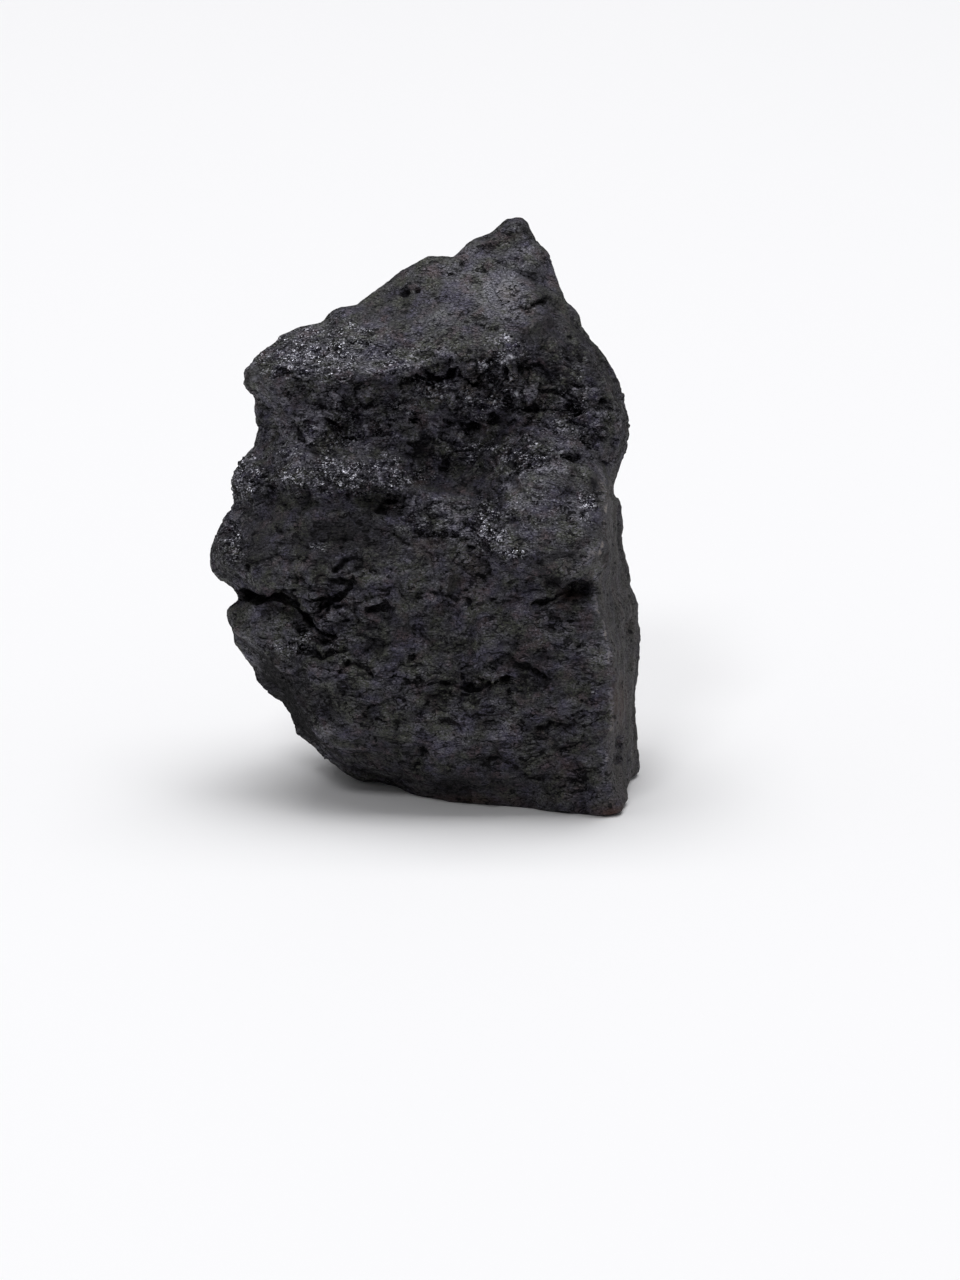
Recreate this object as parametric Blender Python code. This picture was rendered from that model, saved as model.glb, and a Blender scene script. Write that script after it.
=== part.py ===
"""Hematite specimen: one rough lump of massive hematite that stands upright on its flat broken foot.

The broad face leans back a little, so the stone is drawn on a leaning plane. Each point below is
(across, up, out) in millimetres: across is +X, up runs along the leaning plane from the foot,
and out stands square to that plane, towards the front. Two sheets of facets, the broad face and
the back, meet along the outline. The closed body is then remeshed evenly, softened, sculpted with
chips, flakes, pits and cracks, thinned to its final facets and cut flat at the floor.
"""

import math

import bmesh
import bpy
import numpy as np
from mathutils import Matrix, Vector, noise
from mathutils.geometry import delaunay_2d_cdt

MM = 0.001
FACE_LEAN = math.radians(15.0)  # how far the broad face's drawing plane leans back

SCULPT_SPACING = 0.55 * MM  # spacing of the even mesh that is sculpted
SOFTENING_ROUNDS = 2  # how far the arrises between the big facets are worn down
LAST_ROUNDS = 1  # softening after the sculpting
STONE_TRIANGLES = 9000  # faces kept once the sculpting is done
CUT_BLOCK = 90.0 * MM  # side of the block that cuts the foot flat

# Broken surface: flat chips of three sizes, each as (chip size, tilt, place in the noise), in mm.
CHIPS = [(9.0, 0.12, 3.7), (4.6, 0.12, 41.3), (2.6, 0.14, 77.1)]
CHIP_SCATTER = 37.0  # spreads the cells' centres apart in the noise that picks their tilts
BACK_CHIP_SHARE = 1.9  # the back is plain fracture, so its chips stand out more
# Uneven swells under the chips: (wavelength, height, place in the noise), in mm.
SWELLS = [(16.0, 0.5, 12.9), (5.5, 0.25, 63.4)]
# How far a pressed hollow wanders from its line, as (wavelength, height) in mm, and where in the noise.
WOBBLE = (2.2, 0.25)
WOBBLE_PLACES = (5.1, 28.6)
# The edge where the two sheets meet: how far in it is rounded and how thick that makes it, in mm.
EDGE_INSET = 0.8
EDGE_RISE = 1.3
EDGE_SHARE = 0.3  # share of that relief left along the outline, whose steps are drawn one by one
# The stone splits in thin level flakes: their spacing, their step and how long they run, in mm.
FLAKE_SPACING = 2.7
FLAKE_STEP = 0.45
FLAKE_RUN = 9.0

HEMATITE_GREY = (0.045, 0.044, 0.050, 1.0)
HEMATITE_ROUGHNESS = 0.48
HEMATITE_METALLIC = 0.35

# The outline, clockwise from the left end of the upper ledge.
OUTLINE = [
    # top edge, rising in steps to the peak
    (-22.5, 50.6, -2.5), (-22.3, 52.0, -3.0), (-21.2, 53.6, -4.0), (-19.6, 54.8, -5.5),
    (-17.2, 56.2, -7.0), (-14.4, 57.0, -7.5), (-12.2, 57.8, -6.5), (-11.0, 58.9, -6.0),
    (-8.8, 59.1, -6.0), (-7.5, 60.3, -7.0), (-5.4, 62.3, -8.0), (-3.4, 63.7, -8.5),
    (-1.8, 65.1, -8.5), (0.0, 65.7, -7.5), (3.3, 65.4, -6.0), (4.6, 66.6, -6.5),
    (6.2, 67.6, -7.5), (7.6, 68.1, -8.0), (8.9, 69.4, -8.5), (10.2, 70.4, -8.5),
    # peak and the right edge of the upper half
    (11.6, 70.2, -8.5), (12.4, 68.8, -8.5), (13.2, 67.2, -7.5), (14.3, 66.4, -7.0),
    (15.3, 64.3, -7.0), (15.9, 61.9, -6.5), (16.5, 60.1, -6.0), (17.8, 58.6, -6.0),
    (17.9, 57.4, -6.0), (19.7, 55.4, -5.5), (21.1, 53.5, -5.0), (22.5, 51.3, -5.0),
    (23.9, 48.4, -5.5), (24.2, 46.4, -5.5), (23.9, 43.8, -5.5), (23.1, 41.5, -5.5),
    (22.0, 39.2, -6.0), (22.2, 37.0, -7.0), (23.1, 35.8, -8.0), (23.5, 34.4, -8.5),
    # far edge of the right flank
    (23.3, 31.4, -9.0), (23.9, 29.4, -9.5), (24.5, 26.4, -10.5), (25.1, 24.0, -11.0),
    (25.4, 20.4, -12.0), (25.1, 17.4, -12.0), (25.2, 12.0, -12.0), (25.6, 7.5, -13.0),
    (25.7, 4.6, -13.5), (25.2, 3.2, -13.0), (24.4, 1.8, -9.0), (23.7, 0.2, -3.0),
    # front edge of the foot
    (22.8, -0.6, 1.6), (20.4, -0.9, 2.6), (17.0, -0.7, 2.0), (14.2, -0.5, 1.0),
    (11.8, -0.1, -1.0), (7.0, 0.2, -2.0), (3.0, 0.5, -3.2), (0.0, 0.9, -4.8),
    (-2.0, 1.6, -6.8), (-4.6, 2.4, -9.4),
    # undercut lower left edge
    (-7.8, 3.1, -10.5), (-9.8, 3.7, -11.5), (-11.8, 5.0, -11.0), (-14.0, 6.8, -9.5),
    (-16.5, 8.6, -8.0), (-17.6, 10.8, -6.5), (-19.0, 12.6, -5.5), (-20.6, 14.6, -4.5),
    (-21.2, 16.6, -3.5), (-22.1, 18.4, -3.0), (-23.2, 19.8, -2.5), (-24.0, 21.6, -2.0),
    (-24.0, 22.8, -2.0), (-23.6, 23.8, -2.0), (-22.8, 24.3, -2.0),
    # mouth of the open crack, then the two rounded lobes of the left side
    (-21.9, 24.5, -2.5), (-21.9, 24.9, -2.5), (-23.0, 25.9, -3.0), (-24.6, 27.2, -4.0),
    (-25.4, 28.4, -4.5),
    (-25.9, 30.6, -5.0), (-25.7, 31.9, -5.0), (-25.0, 33.2, -5.0), (-23.7, 34.1, -5.5),
    (-22.8, 34.9, -6.0),
    (-22.6, 36.2, -6.0), (-23.1, 37.1, -6.0), (-23.4, 38.5, -6.0), (-23.0, 40.3, -5.5),
    (-22.1, 41.5, -5.0),
    (-21.1, 42.3, -5.0), (-20.3, 43.2, -5.0), (-20.1, 44.7, -5.0), (-20.5, 46.6, -4.5),
    (-21.0, 47.4, -4.5),
    (-20.5, 48.4, -4.0), (-21.1, 49.3, -3.5),
]

# Ridges, ledges and hollows of the broad face. Neighbouring lines make the facets.
FACE = {
    "roof_scoops": [
        (-15.5, 54.2, -0.2), (-9.0, 55.4, 1.0), (-2.0, 58.4, 0.2), (4.6, 60.4, 0.6),
        (10.4, 63.4, -2.0),
    ],
    "peak_front": [(8.6, 66.8, -5.0), (11.8, 66.6, -5.4)],
    "roof_lip": [
        (-21.2, 51.0, 0.2), (-18.5, 51.4, 2.6), (-15.6, 51.4, 4.2), (-12.0, 50.6, 5.8),
        (-8.4, 50.6, 6.4), (-4.8, 50.2, 6.6), (-2.8, 51.0, 6.2), (0.0, 51.9, 6.0),
        (3.6, 52.4, 6.0), (7.2, 52.8, 6.2), (9.6, 53.2, 6.2), (11.2, 54.8, 5.4),
        (12.0, 56.8, 4.0), (13.6, 58.6, 1.6), (15.0, 60.2, -1.4),
    ],
    "under_lip": [
        (-20.6, 49.4, -0.8), (-18.0, 49.8, 1.4), (-15.0, 49.8, 2.6), (-12.0, 49.2, 3.8),
        (-8.4, 49.2, 4.2), (-4.8, 48.8, 3.8), (-2.4, 49.4, 3.0), (0.0, 50.4, 3.0),
        (3.6, 50.9, 3.2), (7.2, 50.8, 2.8), (10.4, 51.0, 2.4), (12.8, 53.2, 2.0),
        (13.8, 55.4, 1.2), (15.4, 57.4, -1.0),
    ],
    "recess_floor": [
        (-19.6, 45.6, -0.5), (-15.0, 45.0, 2.2), (-10.6, 44.6, 3.4), (-6.0, 45.0, 3.4),
        (-1.4, 45.2, 2.2), (3.0, 45.0, 1.2), (6.2, 44.0, 0.8), (9.4, 44.4, 2.6), (12.0, 46.6, 4.4),
    ],
    "ledge_back": [
        (-20.0, 42.2, -1.5), (-18.0, 41.8, 1.5), (-14.0, 41.8, 4.0), (-10.0, 41.4, 5.4),
        (-6.4, 41.0, 5.6), (-3.0, 40.4, 4.8), (0.6, 39.4, 3.4), (3.6, 39.8, 3.0), (5.6, 41.4, 3.6),
    ],
    "ledge_lip": [
        (-22.8, 38.6, -1.0), (-20.2, 38.4, 1.6), (-18.4, 38.2, 1.8), (-16.6, 38.4, 4.4),
        (-14.0, 38.2, 7.4),
        (-10.0, 38.4, 8.6), (-6.4, 38.0, 9.0), (-3.0, 37.4, 8.4), (0.6, 36.6, 7.4),
        (4.2, 36.2, 6.8),
    ],
    "ledge_under": [
        (-20.4, 36.4, 1.4), (-18.0, 36.4, 1.2), (-14.6, 36.6, 5.4), (-10.0, 36.8, 6.8),
        (-6.4, 36.5, 7.2), (-3.0, 35.8, 7.2), (0.6, 35.2, 6.8),
    ],
    "lobe_notch": [(-22.4, 34.5, -2.5), (-19.8, 34.0, 1.4)],
    "middle_upper": [
        (-17.0, 33.4, 4.6), (-12.0, 33.8, 7.0), (-7.0, 33.6, 8.0), (-2.0, 33.0, 8.0),
        (2.4, 32.4, 7.6),
    ],
    "lower_lobe": [(-24.6, 31.2, 0.0), (-23.4, 29.0, 2.4), (-20.4, 28.6, 4.6)],
    "middle_lower": [
        (-16.4, 28.0, 6.0), (-11.0, 27.6, 8.2), (-5.0, 27.6, 9.2), (1.0, 27.6, 8.8),
        (5.0, 27.4, 8.4),
    ],
    "shoulder_top": [
        (7.0, 40.0, 5.0), (8.4, 41.4, 6.2), (12.0, 42.6, 6.8), (16.8, 42.2, 7.2),
        (20.2, 40.8, 5.4),
    ],
    "shoulder_front": [
        (6.2, 37.0, 6.8), (8.4, 37.4, 9.2), (12.0, 37.8, 10.4), (16.0, 37.8, 10.8),
        (19.4, 37.0, 10.0),
    ],
    "shoulder_swell": [
        (6.0, 33.6, 8.0), (8.4, 33.2, 10.6), (12.0, 33.0, 12.0), (16.0, 33.0, 12.6),
        (19.4, 33.4, 11.8),
    ],
    "shoulder_rim": [
        (5.6, 31.6, 8.6), (8.0, 29.6, 11.0), (12.0, 28.5, 13.0), (15.6, 28.2, 13.6),
        (18.2, 29.2, 13.2), (19.8, 31.0, 12.0),
    ],
    "under_rim": [
        (7.6, 28.4, 8.2), (12.0, 27.3, 8.6), (15.4, 26.6, 7.8), (17.6, 26.6, 5.6),
        (19.0, 27.6, 5.8),
    ],
    "flank_edge": [
        (21.2, 39.2, 4.0), (20.9, 36.6, 9.4), (20.7, 33.6, 10.8), (20.5, 31.2, 10.8),
        (20.1, 28.8, 8.0),
        (19.7, 26.4, 7.2), (20.0, 24.0, 7.8), (20.6, 21.6, 8.4), (21.2, 18.8, 8.6),
        (21.6, 15.6, 8.4),
        (21.9, 12.0, 7.8), (21.6, 9.6, 7.0), (21.1, 6.6, 6.4), (21.2, 4.0, 5.4), (22.0, 1.4, 3.4),
    ],
    "right_rim": [
        (16.4, 57.4, 0.0), (19.0, 54.2, 0.8), (20.9, 50.8, 1.6), (22.4, 47.4, 2.0),
        (22.3, 44.6, 2.0), (21.4, 41.8, 2.4),
    ],
    "right_hollow": [(12.4, 50.0, 3.6), (15.6, 54.0, 2.4), (17.2, 51.0, 3.2)],
    "right_step": [(14.6, 47.6, 4.0), (17.4, 47.4, 3.8), (20.0, 48.4, 2.8)],
    "right_lower": [(13.6, 44.8, 4.4), (17.6, 45.0, 4.2), (20.6, 43.8, 3.2)],
    "crack_upper_edge": [
        (-21.6, 25.3, 0.5), (-19.4, 25.3, 4.0), (-17.0, 25.3, 5.8), (-15.0, 24.6, 6.6),
        (-13.2, 23.0, 7.2),
    ],
    "crack_bottom": [
        (-21.2, 24.75, -5.5), (-19.2, 24.75, -4.0), (-17.0, 24.6, -2.0), (-15.2, 23.3, 0.0),
        (-14.0, 21.6, 1.5), (-12.6, 20.6, 4.0), (-11.0, 20.2, 6.6),
    ],
    "crack_lower_edge": [
        (-22.2, 23.9, 0.5), (-20.0, 24.0, 3.2), (-17.2, 23.9, 4.6), (-16.2, 22.6, 5.0),
        (-15.0, 20.8, 5.4),
        (-13.2, 19.9, 6.6), (-11.0, 19.6, 7.8),
    ],
    "body_top": [
        (-9.4, 22.4, 8.6), (-5.0, 22.4, 9.2), (0.0, 22.2, 8.8), (6.0, 22.2, 8.6),
        (12.0, 22.0, 8.8), (17.0, 21.6, 8.6),
    ],
    "body_swell": [
        (-15.0, 15.6, 6.0), (-10.0, 16.0, 8.6), (-4.0, 16.0, 9.4), (2.0, 16.0, 9.2),
        (8.0, 16.0, 9.2), (14.0, 16.0, 9.2), (19.0, 16.0, 9.0),
    ],
    "body_turn": [
        (-11.0, 9.4, 4.6), (-6.0, 9.4, 6.6), (0.0, 9.0, 7.4), (6.0, 9.0, 7.6), (12.0, 9.0, 7.6),
        (18.0, 9.0, 7.6),
    ],
    "body_undercut": [
        (-4.0, 4.8, 0.5), (2.0, 3.8, 2.6), (8.0, 3.4, 3.6), (14.0, 2.6, 4.0), (19.6, 1.8, 4.6),
    ],
    "left_bevel": [
        (-23.2, 21.4, 1.2), (-20.6, 19.4, 2.8), (-18.6, 16.4, 3.4), (-16.4, 12.8, 3.2),
        (-13.8, 9.4, 2.2), (-10.4, 6.6, 0.4), (-6.6, 4.8, -2.5),
    ],
}

# Ridges of the back and of the foot's underside.
BACK = {
    "peak_rear": [(8.4, 66.6, -12.5), (12.2, 66.2, -12.0)],
    "spine": [
        (3.4, 60.0, -17.0), (5.5, 48.0, -26.0), (3.0, 34.0, -29.5), (7.0, 20.0, -33.0),
        (6.0, 9.0, -31.5),
    ],
    "left_arris": [
        (-12.0, 53.0, -14.0), (-15.5, 40.0, -18.0), (-14.0, 27.0, -23.5), (-15.0, 15.5, -21.5),
        (-11.4, 7.4, -21.5),
    ],
    "right_arris": [
        (14.6, 57.0, -16.0), (17.6, 42.0, -21.5), (20.5, 26.0, -24.5), (20.4, 15.0, -27.0),
        (19.0, 7.4, -25.5),
    ],
    "left_cheek": [(-20.4, 37.0, -10.5), (-21.6, 27.0, -12.5), (-19.0, 16.0, -12.5)],
    "chipped_step": [(-9.0, 39.6, -22.5), (-1.0, 41.0, -26.5)],
    "under_chip": [(-10.0, 38.0, -20.0), (-1.6, 38.8, -24.0)],
    "foot_rear": [
        (-9.0, 4.6, -19.0), (-3.0, 5.6, -23.6), (5.0, 6.4, -26.6), (12.0, 6.2, -25.6),
        (18.0, 5.2, -22.4),
    ],
    "foot_middle": [
        (-7.8, 3.4, -15.0), (-1.0, 3.0, -14.0), (5.0, 3.0, -14.0), (11.0, 3.0, -14.0),
        (18.0, 2.6, -12.8),
    ],
}

# Hollows pressed into the broad face: (points along it, half width, depth), in mm.
HOLLOWS = [
    # under the roof
    ([(0.5, 50.6), (5.0, 51.0), (9.6, 50.4)], 0.9, 1.3),
    ([(6.6, 49.2), (9.8, 48.6)], 0.8, 1.4),
    ([(2.6, 45.4), (4.6, 45.0), (6.6, 44.2)], 0.8, 2.0),
    ([(-1.8, 46.0), (-0.8, 45.8)], 0.7, 1.2),
    ([(-10.4, 45.4), (-9.4, 45.0), (-8.6, 43.6)], 0.7, 1.3),
    ([(8.0, 46.4), (9.4, 45.6)], 0.6, 1.0),
    # right of the roof
    ([(11.8, 58.6), (14.4, 60.2)], 0.6, 1.0),
    ([(11.6, 47.2), (14.4, 47.6), (17.4, 47.0)], 0.55, 0.8),
    ([(20.6, 48.2), (21.4, 47.6)], 0.7, 1.2),
    ([(16.4, 41.6), (18.2, 41.0)], 0.6, 1.0),
    # under the ledge and beside the shoulder
    ([(-15.4, 36.6), (-9.0, 36.4), (-3.4, 35.6)], 0.8, 0.8),
    ([(-5.4, 35.8), (-4.4, 34.8)], 0.7, 1.1),
    ([(5.8, 30.6), (9.6, 28.6), (14.0, 27.2), (17.4, 27.0)], 0.8, 1.0),
    ([(15.6, 26.0), (18.6, 25.6)], 1.1, 2.2),
    ([(12.6, 24.2), (15.6, 24.0)], 0.6, 0.9),
    # the open crack and its branches
    ([(-22.4, 24.7), (-17.2, 24.7), (-15.0, 23.4), (-13.9, 21.6), (-12.0, 20.4)], 0.5, 1.6),
    ([(-18.8, 41.0), (-18.4, 37.6), (-19.8, 35.0)], 0.9, 0.9),
    ([(-14.6, 24.6), (-10.4, 24.9), (-8.8, 26.2)], 0.55, 1.1),
    ([(-13.8, 20.4), (-12.0, 20.0), (-10.2, 20.3)], 0.7, 1.6),
    ([(-15.0, 19.4), (-12.2, 18.2), (-10.2, 18.7)], 0.6, 1.2),
    ([(-9.4, 17.4), (-6.0, 15.8)], 0.7, 1.3),
    ([(-6.8, 23.8), (-4.8, 23.6)], 0.55, 0.9),
    # slots of the lower body
    ([(3.4, 14.8), (8.4, 14.7)], 0.75, 1.4),
    ([(10.4, 16.8), (13.4, 15.6)], 0.6, 1.0),
    ([(0.4, 12.8), (2.2, 12.7)], 0.5, 0.8),
    ([(13.4, 9.8), (17.6, 9.2)], 0.55, 0.8),
    ([(-0.8, 6.6), (-1.4, 5.2)], 0.7, 1.1),
    ([(22.0, 8.0), (22.0, 5.6)], 0.8, 1.2),
]

# Lumps that stand out of the broad face: (across, up, half width, half height, rise), in mm.
LUMPS = [
    # in the recess and beside it
    (2.0, 49.0, 1.5, 1.2, 1.0), (5.4, 48.6, 1.5, 1.3, 1.1), (8.6, 47.2, 1.3, 1.1, 0.9),
    (12.0, 49.2, 1.6, 1.2, 1.1),
    # left lobes and the ledge
    (-20.8, 39.0, 2.2, 2.2, 0.8), (-21.4, 30.4, 3.0, 3.0, 0.7), (-9.2, 39.2, 4.0, 0.9, 0.6),
    (-14.6, 38.6, 2.2, 0.9, 0.6),
    # shoulder and body
    (13.6, 37.0, 4.6, 4.0, 0.8), (9.2, 32.6, 2.2, 2.4, 0.5), (-4.0, 28.6, 4.0, 2.4, 0.5),
    (-13.6, 20.6, 1.2, 0.7, 0.9), (-21.6, 22.4, 2.0, 1.0, 0.5), (23.2, 7.4, 1.4, 2.4, 0.5),
    # roof
    (-17.6, 53.4, 3.6, 1.6, 0.4), (1.0, 55.4, 4.6, 2.4, 0.4),
]


def to_world(point):
    """A point of the leaning drawing, in millimetres, as a place in metres."""
    across, up, out = point
    lean_sin, lean_cos = math.sin(FACE_LEAN), math.cos(FACE_LEAN)
    return Vector((across, up * lean_sin - out * lean_cos, up * lean_cos + out * lean_sin)) * MM


def to_drawing(rows):
    """World vectors, one a row, turned into (across, up, out)."""
    lean_sin, lean_cos = math.sin(FACE_LEAN), math.cos(FACE_LEAN)
    x, y, z = rows.T
    return np.stack([x, y * lean_sin + z * lean_cos, z * lean_sin - y * lean_cos], axis=1)


def inset_ring(side):
    """The outline shrunk a little and moved to the sheet's side, which rounds the stone's edge."""
    ring = []
    for i, (across, up, out) in enumerate(OUTLINE):
        before, after = Vector(OUTLINE[i - 1][:2]), Vector(OUTLINE[(i + 1) % len(OUTLINE)][:2])
        inward = (after - before).orthogonal().normalized() * -EDGE_INSET
        ring.append((across + inward.x, up + inward.y, out + side * EDGE_RISE))
    return ring


def faceted_sheet(lines, side):
    """Points inside the outline and the triangles between them, with an edge kept along every line."""
    points = list(OUTLINE) + inset_ring(side)
    edges = []
    for line in lines.values():
        edges += [(len(points) + i, len(points) + i + 1) for i in range(len(line) - 1)]
        points += line
    flat = [Vector(p[:2]) for p in points]
    ring = list(range(len(OUTLINE)))
    _, _, triangles, sources, _, _ = delaunay_2d_cdt(flat, edges, [ring], 1, 1e-6)
    return points, [[sources[i][0] for i in triangle] for triangle in triangles]


def rough_block():
    """The closed body of flat facets."""
    bm = bmesh.new()
    rim = [bm.verts.new(to_world(p)) for p in OUTLINE]
    for points, triangles in (faceted_sheet(FACE, 1.0), faceted_sheet(BACK, -1.0)):
        corners = rim + [bm.verts.new(to_world(p)) for p in points[len(OUTLINE):]]
        for triangle in triangles:
            bm.faces.new([corners[i] for i in triangle])
    bmesh.ops.recalc_face_normals(bm, faces=bm.faces)
    mesh = bpy.data.meshes.new("rough_block")
    bm.to_mesh(mesh)
    bm.free()
    return mesh


def evaluated_copy(mesh, modifiers):
    """The mesh after a list of (type, settings) modifiers, as a new mesh."""
    holder = bpy.data.objects.new("holder", mesh)
    bpy.context.scene.collection.objects.link(holder)
    for kind, settings in modifiers:
        modifier = holder.modifiers.new(kind.title(), kind)
        for setting, value in settings.items():
            setattr(modifier, setting, value)
    graph = bpy.context.evaluated_depsgraph_get()
    made = bpy.data.meshes.new_from_object(holder.evaluated_get(graph))
    bpy.data.objects.remove(holder)
    return made


def distance_to(line, places):
    """How far each (across, up) place lies from a line of points."""
    nearest = np.full(len(places), np.inf)
    for start, end in zip(np.array(line[:-1]), np.array(line[1:])):
        along = end - start
        share = np.clip((places - start) @ along / (along @ along), 0.0, 1.0)
        nearest = np.minimum(nearest, np.linalg.norm(places - start - share[:, None] * along, axis=1))
    return nearest


def chip_relief(places, size, tilt, offset):
    """Height of a surface of flat chips: each cell of the noise is a plane with a tilt of its own."""
    heights = np.empty(len(places))
    for i, place in enumerate(places):
        spot = Vector(place) / size + Vector((offset, offset, offset))
        centre = noise.voronoi(spot)[1][0]
        lean = noise.cell_vector(centre * CHIP_SCATTER) * 2.0 - Vector((1.0, 1.0, 1.0))
        heights[i] = (spot - centre).dot(lean) * tilt * size
    return heights


def swell_relief(places, wavelength, height, offset):
    shift = Vector((offset, offset, offset))
    return np.array([noise.noise(Vector(p) / wavelength + shift) for p in places]) * height * 2.0


def flake_relief(places):
    """Thin level flakes: the surface steps back under each one."""
    heights = np.empty(len(places))
    for i, (across, up, out) in enumerate(places):
        wander = noise.noise(Vector((across / FLAKE_RUN, up / 4.0, out / FLAKE_RUN)))
        layer = up / FLAKE_SPACING + 1.6 * wander
        strength = noise.noise(Vector((across / 6.0, math.floor(layer) * 7.3, 5.0)))
        heights[i] = (layer % 1.0 - 0.5) * -FLAKE_STEP * (1.0 + 1.5 * strength)
    return heights


def sculpt(mesh):
    """Moves each point of the even mesh along its normal by the relief of the broken surface there."""
    count = len(mesh.vertices)
    places = np.empty(count * 3)
    normals = np.empty(count * 3)
    mesh.vertices.foreach_get("co", places)
    mesh.vertex_normals.foreach_get("vector", normals)
    places, normals = places.reshape(-1, 3), normals.reshape(-1, 3)
    drawn = to_drawing(places) / MM
    square_on = to_drawing(normals)[:, 2]
    facing = np.clip((square_on - 0.1) / 0.4, 0.0, 1.0)

    upright = 1.0 - np.abs(to_drawing(normals)[:, 1])
    chip_share = np.where(square_on < 0.0, 1.0 - (BACK_CHIP_SHARE - 1.0) * square_on, 1.0)
    relief = flake_relief(drawn) * upright
    for size, tilt, offset in CHIPS:
        relief += chip_relief(drawn, size, tilt, offset) * chip_share
    for wavelength, height, offset in SWELLS:
        relief += swell_relief(drawn, wavelength, height, offset)
    relief *= EDGE_SHARE + (1.0 - EDGE_SHARE) * np.abs(square_on)
    wobble = np.stack([swell_relief(drawn, *WOBBLE, offset) for offset in WOBBLE_PLACES], axis=1)
    for line, half_width, depth in HOLLOWS:
        reach = distance_to(line, drawn[:, :2] + wobble) / half_width
        relief -= facing * depth * np.exp(-reach ** 2)
    for across, up, half_width, half_height, rise in LUMPS:
        reach = np.hypot((drawn[:, 0] - across) / half_width, (drawn[:, 1] - up) / half_height)
        relief += facing * rise * np.exp(-reach ** 2)

    mesh.vertices.foreach_set("co", (places + normals * relief[:, None] * MM).ravel())
    mesh.update()


def cutter_below_floor():
    """A block whose top face is the floor."""
    bm = bmesh.new()
    bmesh.ops.create_cube(bm, size=CUT_BLOCK)
    bmesh.ops.translate(bm, verts=bm.verts, vec=(0.0, 0.0, -CUT_BLOCK / 2))
    mesh = bpy.data.meshes.new("floor_cutter")
    bm.to_mesh(mesh)
    bm.free()
    cutter = bpy.data.objects.new("floor_cutter", mesh)
    bpy.context.scene.collection.objects.link(cutter)
    return cutter


def stone_mesh():
    """The finished solid of the stone."""
    even = evaluated_copy(rough_block(), [
        ("REMESH", {"mode": "VOXEL", "voxel_size": SCULPT_SPACING}),
        ("SMOOTH", {"factor": 0.5, "iterations": SOFTENING_ROUNDS}),
    ])
    sculpt(even)
    triangles = 2 * len(even.polygons)
    cutter = cutter_below_floor()
    finished = evaluated_copy(even, [
        ("REMESH", {"mode": "VOXEL", "voxel_size": SCULPT_SPACING}),
        ("SMOOTH", {"factor": 0.5, "iterations": LAST_ROUNDS}),
        ("DECIMATE", {"ratio": STONE_TRIANGLES / triangles, "use_collapse_triangulate": True}),
        ("BOOLEAN", {"operation": "DIFFERENCE", "object": cutter, "solver": "EXACT"}),
    ])
    bpy.data.objects.remove(cutter)
    return finished


def centred_on_floor(mesh):
    """Moves the mesh so that the origin is the middle of its footprint box, on the floor."""
    low, high = (Vector(f(v.co[i] for v in mesh.vertices) for i in range(3)) for f in (min, max))
    mesh.transform(Matrix.Translation((-(low.x + high.x) / 2, -(low.y + high.y) / 2, 0.0)))
    return mesh


def hematite():
    """Dull, dark grey hematite with a weak metallic sheen."""
    material = bpy.data.materials.new("hematite")
    material.use_nodes = True
    surface = material.node_tree.nodes["Principled BSDF"]
    surface.inputs["Base Color"].default_value = HEMATITE_GREY
    surface.inputs["Roughness"].default_value = HEMATITE_ROUGHNESS
    surface.inputs["Metallic"].default_value = HEMATITE_METALLIC
    return material


def main():
    for obj in list(bpy.data.objects):
        bpy.data.objects.remove(obj)
    stone = bpy.data.objects.new("hematite_stone", centred_on_floor(stone_mesh()))
    bpy.context.scene.collection.objects.link(stone)
    stone.data.materials.clear()
    stone.data.materials.append(hematite())


if __name__ == "__main__":
    main()
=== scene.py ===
"""Hematite specimen: the broken surface of the stone and its display stage, as an add-on run as a script.

The stone's solid comes from the frame. This add-on remeshes a copy of it finely, breaks the surface
into chips, flakes, pits and cracks, and gives it the dull metallic look of massive hematite, with
painted glints, sheen, highlights and shade in its colours.
Places on the stone are (across, up, out) in millimetres on its leaning broad face.
"""

import itertools
import math
from types import SimpleNamespace

import bpy
import numpy as np
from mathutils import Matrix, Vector


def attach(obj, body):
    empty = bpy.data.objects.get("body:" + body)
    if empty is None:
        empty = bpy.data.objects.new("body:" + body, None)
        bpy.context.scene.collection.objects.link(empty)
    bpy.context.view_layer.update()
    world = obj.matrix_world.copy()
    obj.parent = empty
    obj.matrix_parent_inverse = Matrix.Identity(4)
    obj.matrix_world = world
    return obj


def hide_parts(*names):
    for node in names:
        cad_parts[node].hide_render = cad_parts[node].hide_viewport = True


bl_info = {
    "name": "Hematite specimen",
    "version": (1, 0, 0),
    "blender": (4, 5, 0),
    "location": "3D View > Sidebar > Hematite",
    "description": "Builds the broken surface of a rough hematite lump and a plain display stage",
    "category": "Add Mesh",
}

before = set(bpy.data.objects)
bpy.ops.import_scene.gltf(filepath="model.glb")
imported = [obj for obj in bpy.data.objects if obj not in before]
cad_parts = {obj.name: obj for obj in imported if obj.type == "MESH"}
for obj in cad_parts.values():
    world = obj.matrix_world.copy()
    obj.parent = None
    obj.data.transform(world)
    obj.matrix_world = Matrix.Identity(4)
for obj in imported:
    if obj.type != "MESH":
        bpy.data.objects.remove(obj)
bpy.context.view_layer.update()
STONE_NODE = "hematite_stone"

MM = 0.001
FACE_LEAN = math.radians(15.0)  # how far the broad face leans back
DRAWING_ORIGIN = np.array([-0.156, 16.594, 0.0])  # the frame's origin in the leaning drawing, in mm

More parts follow.
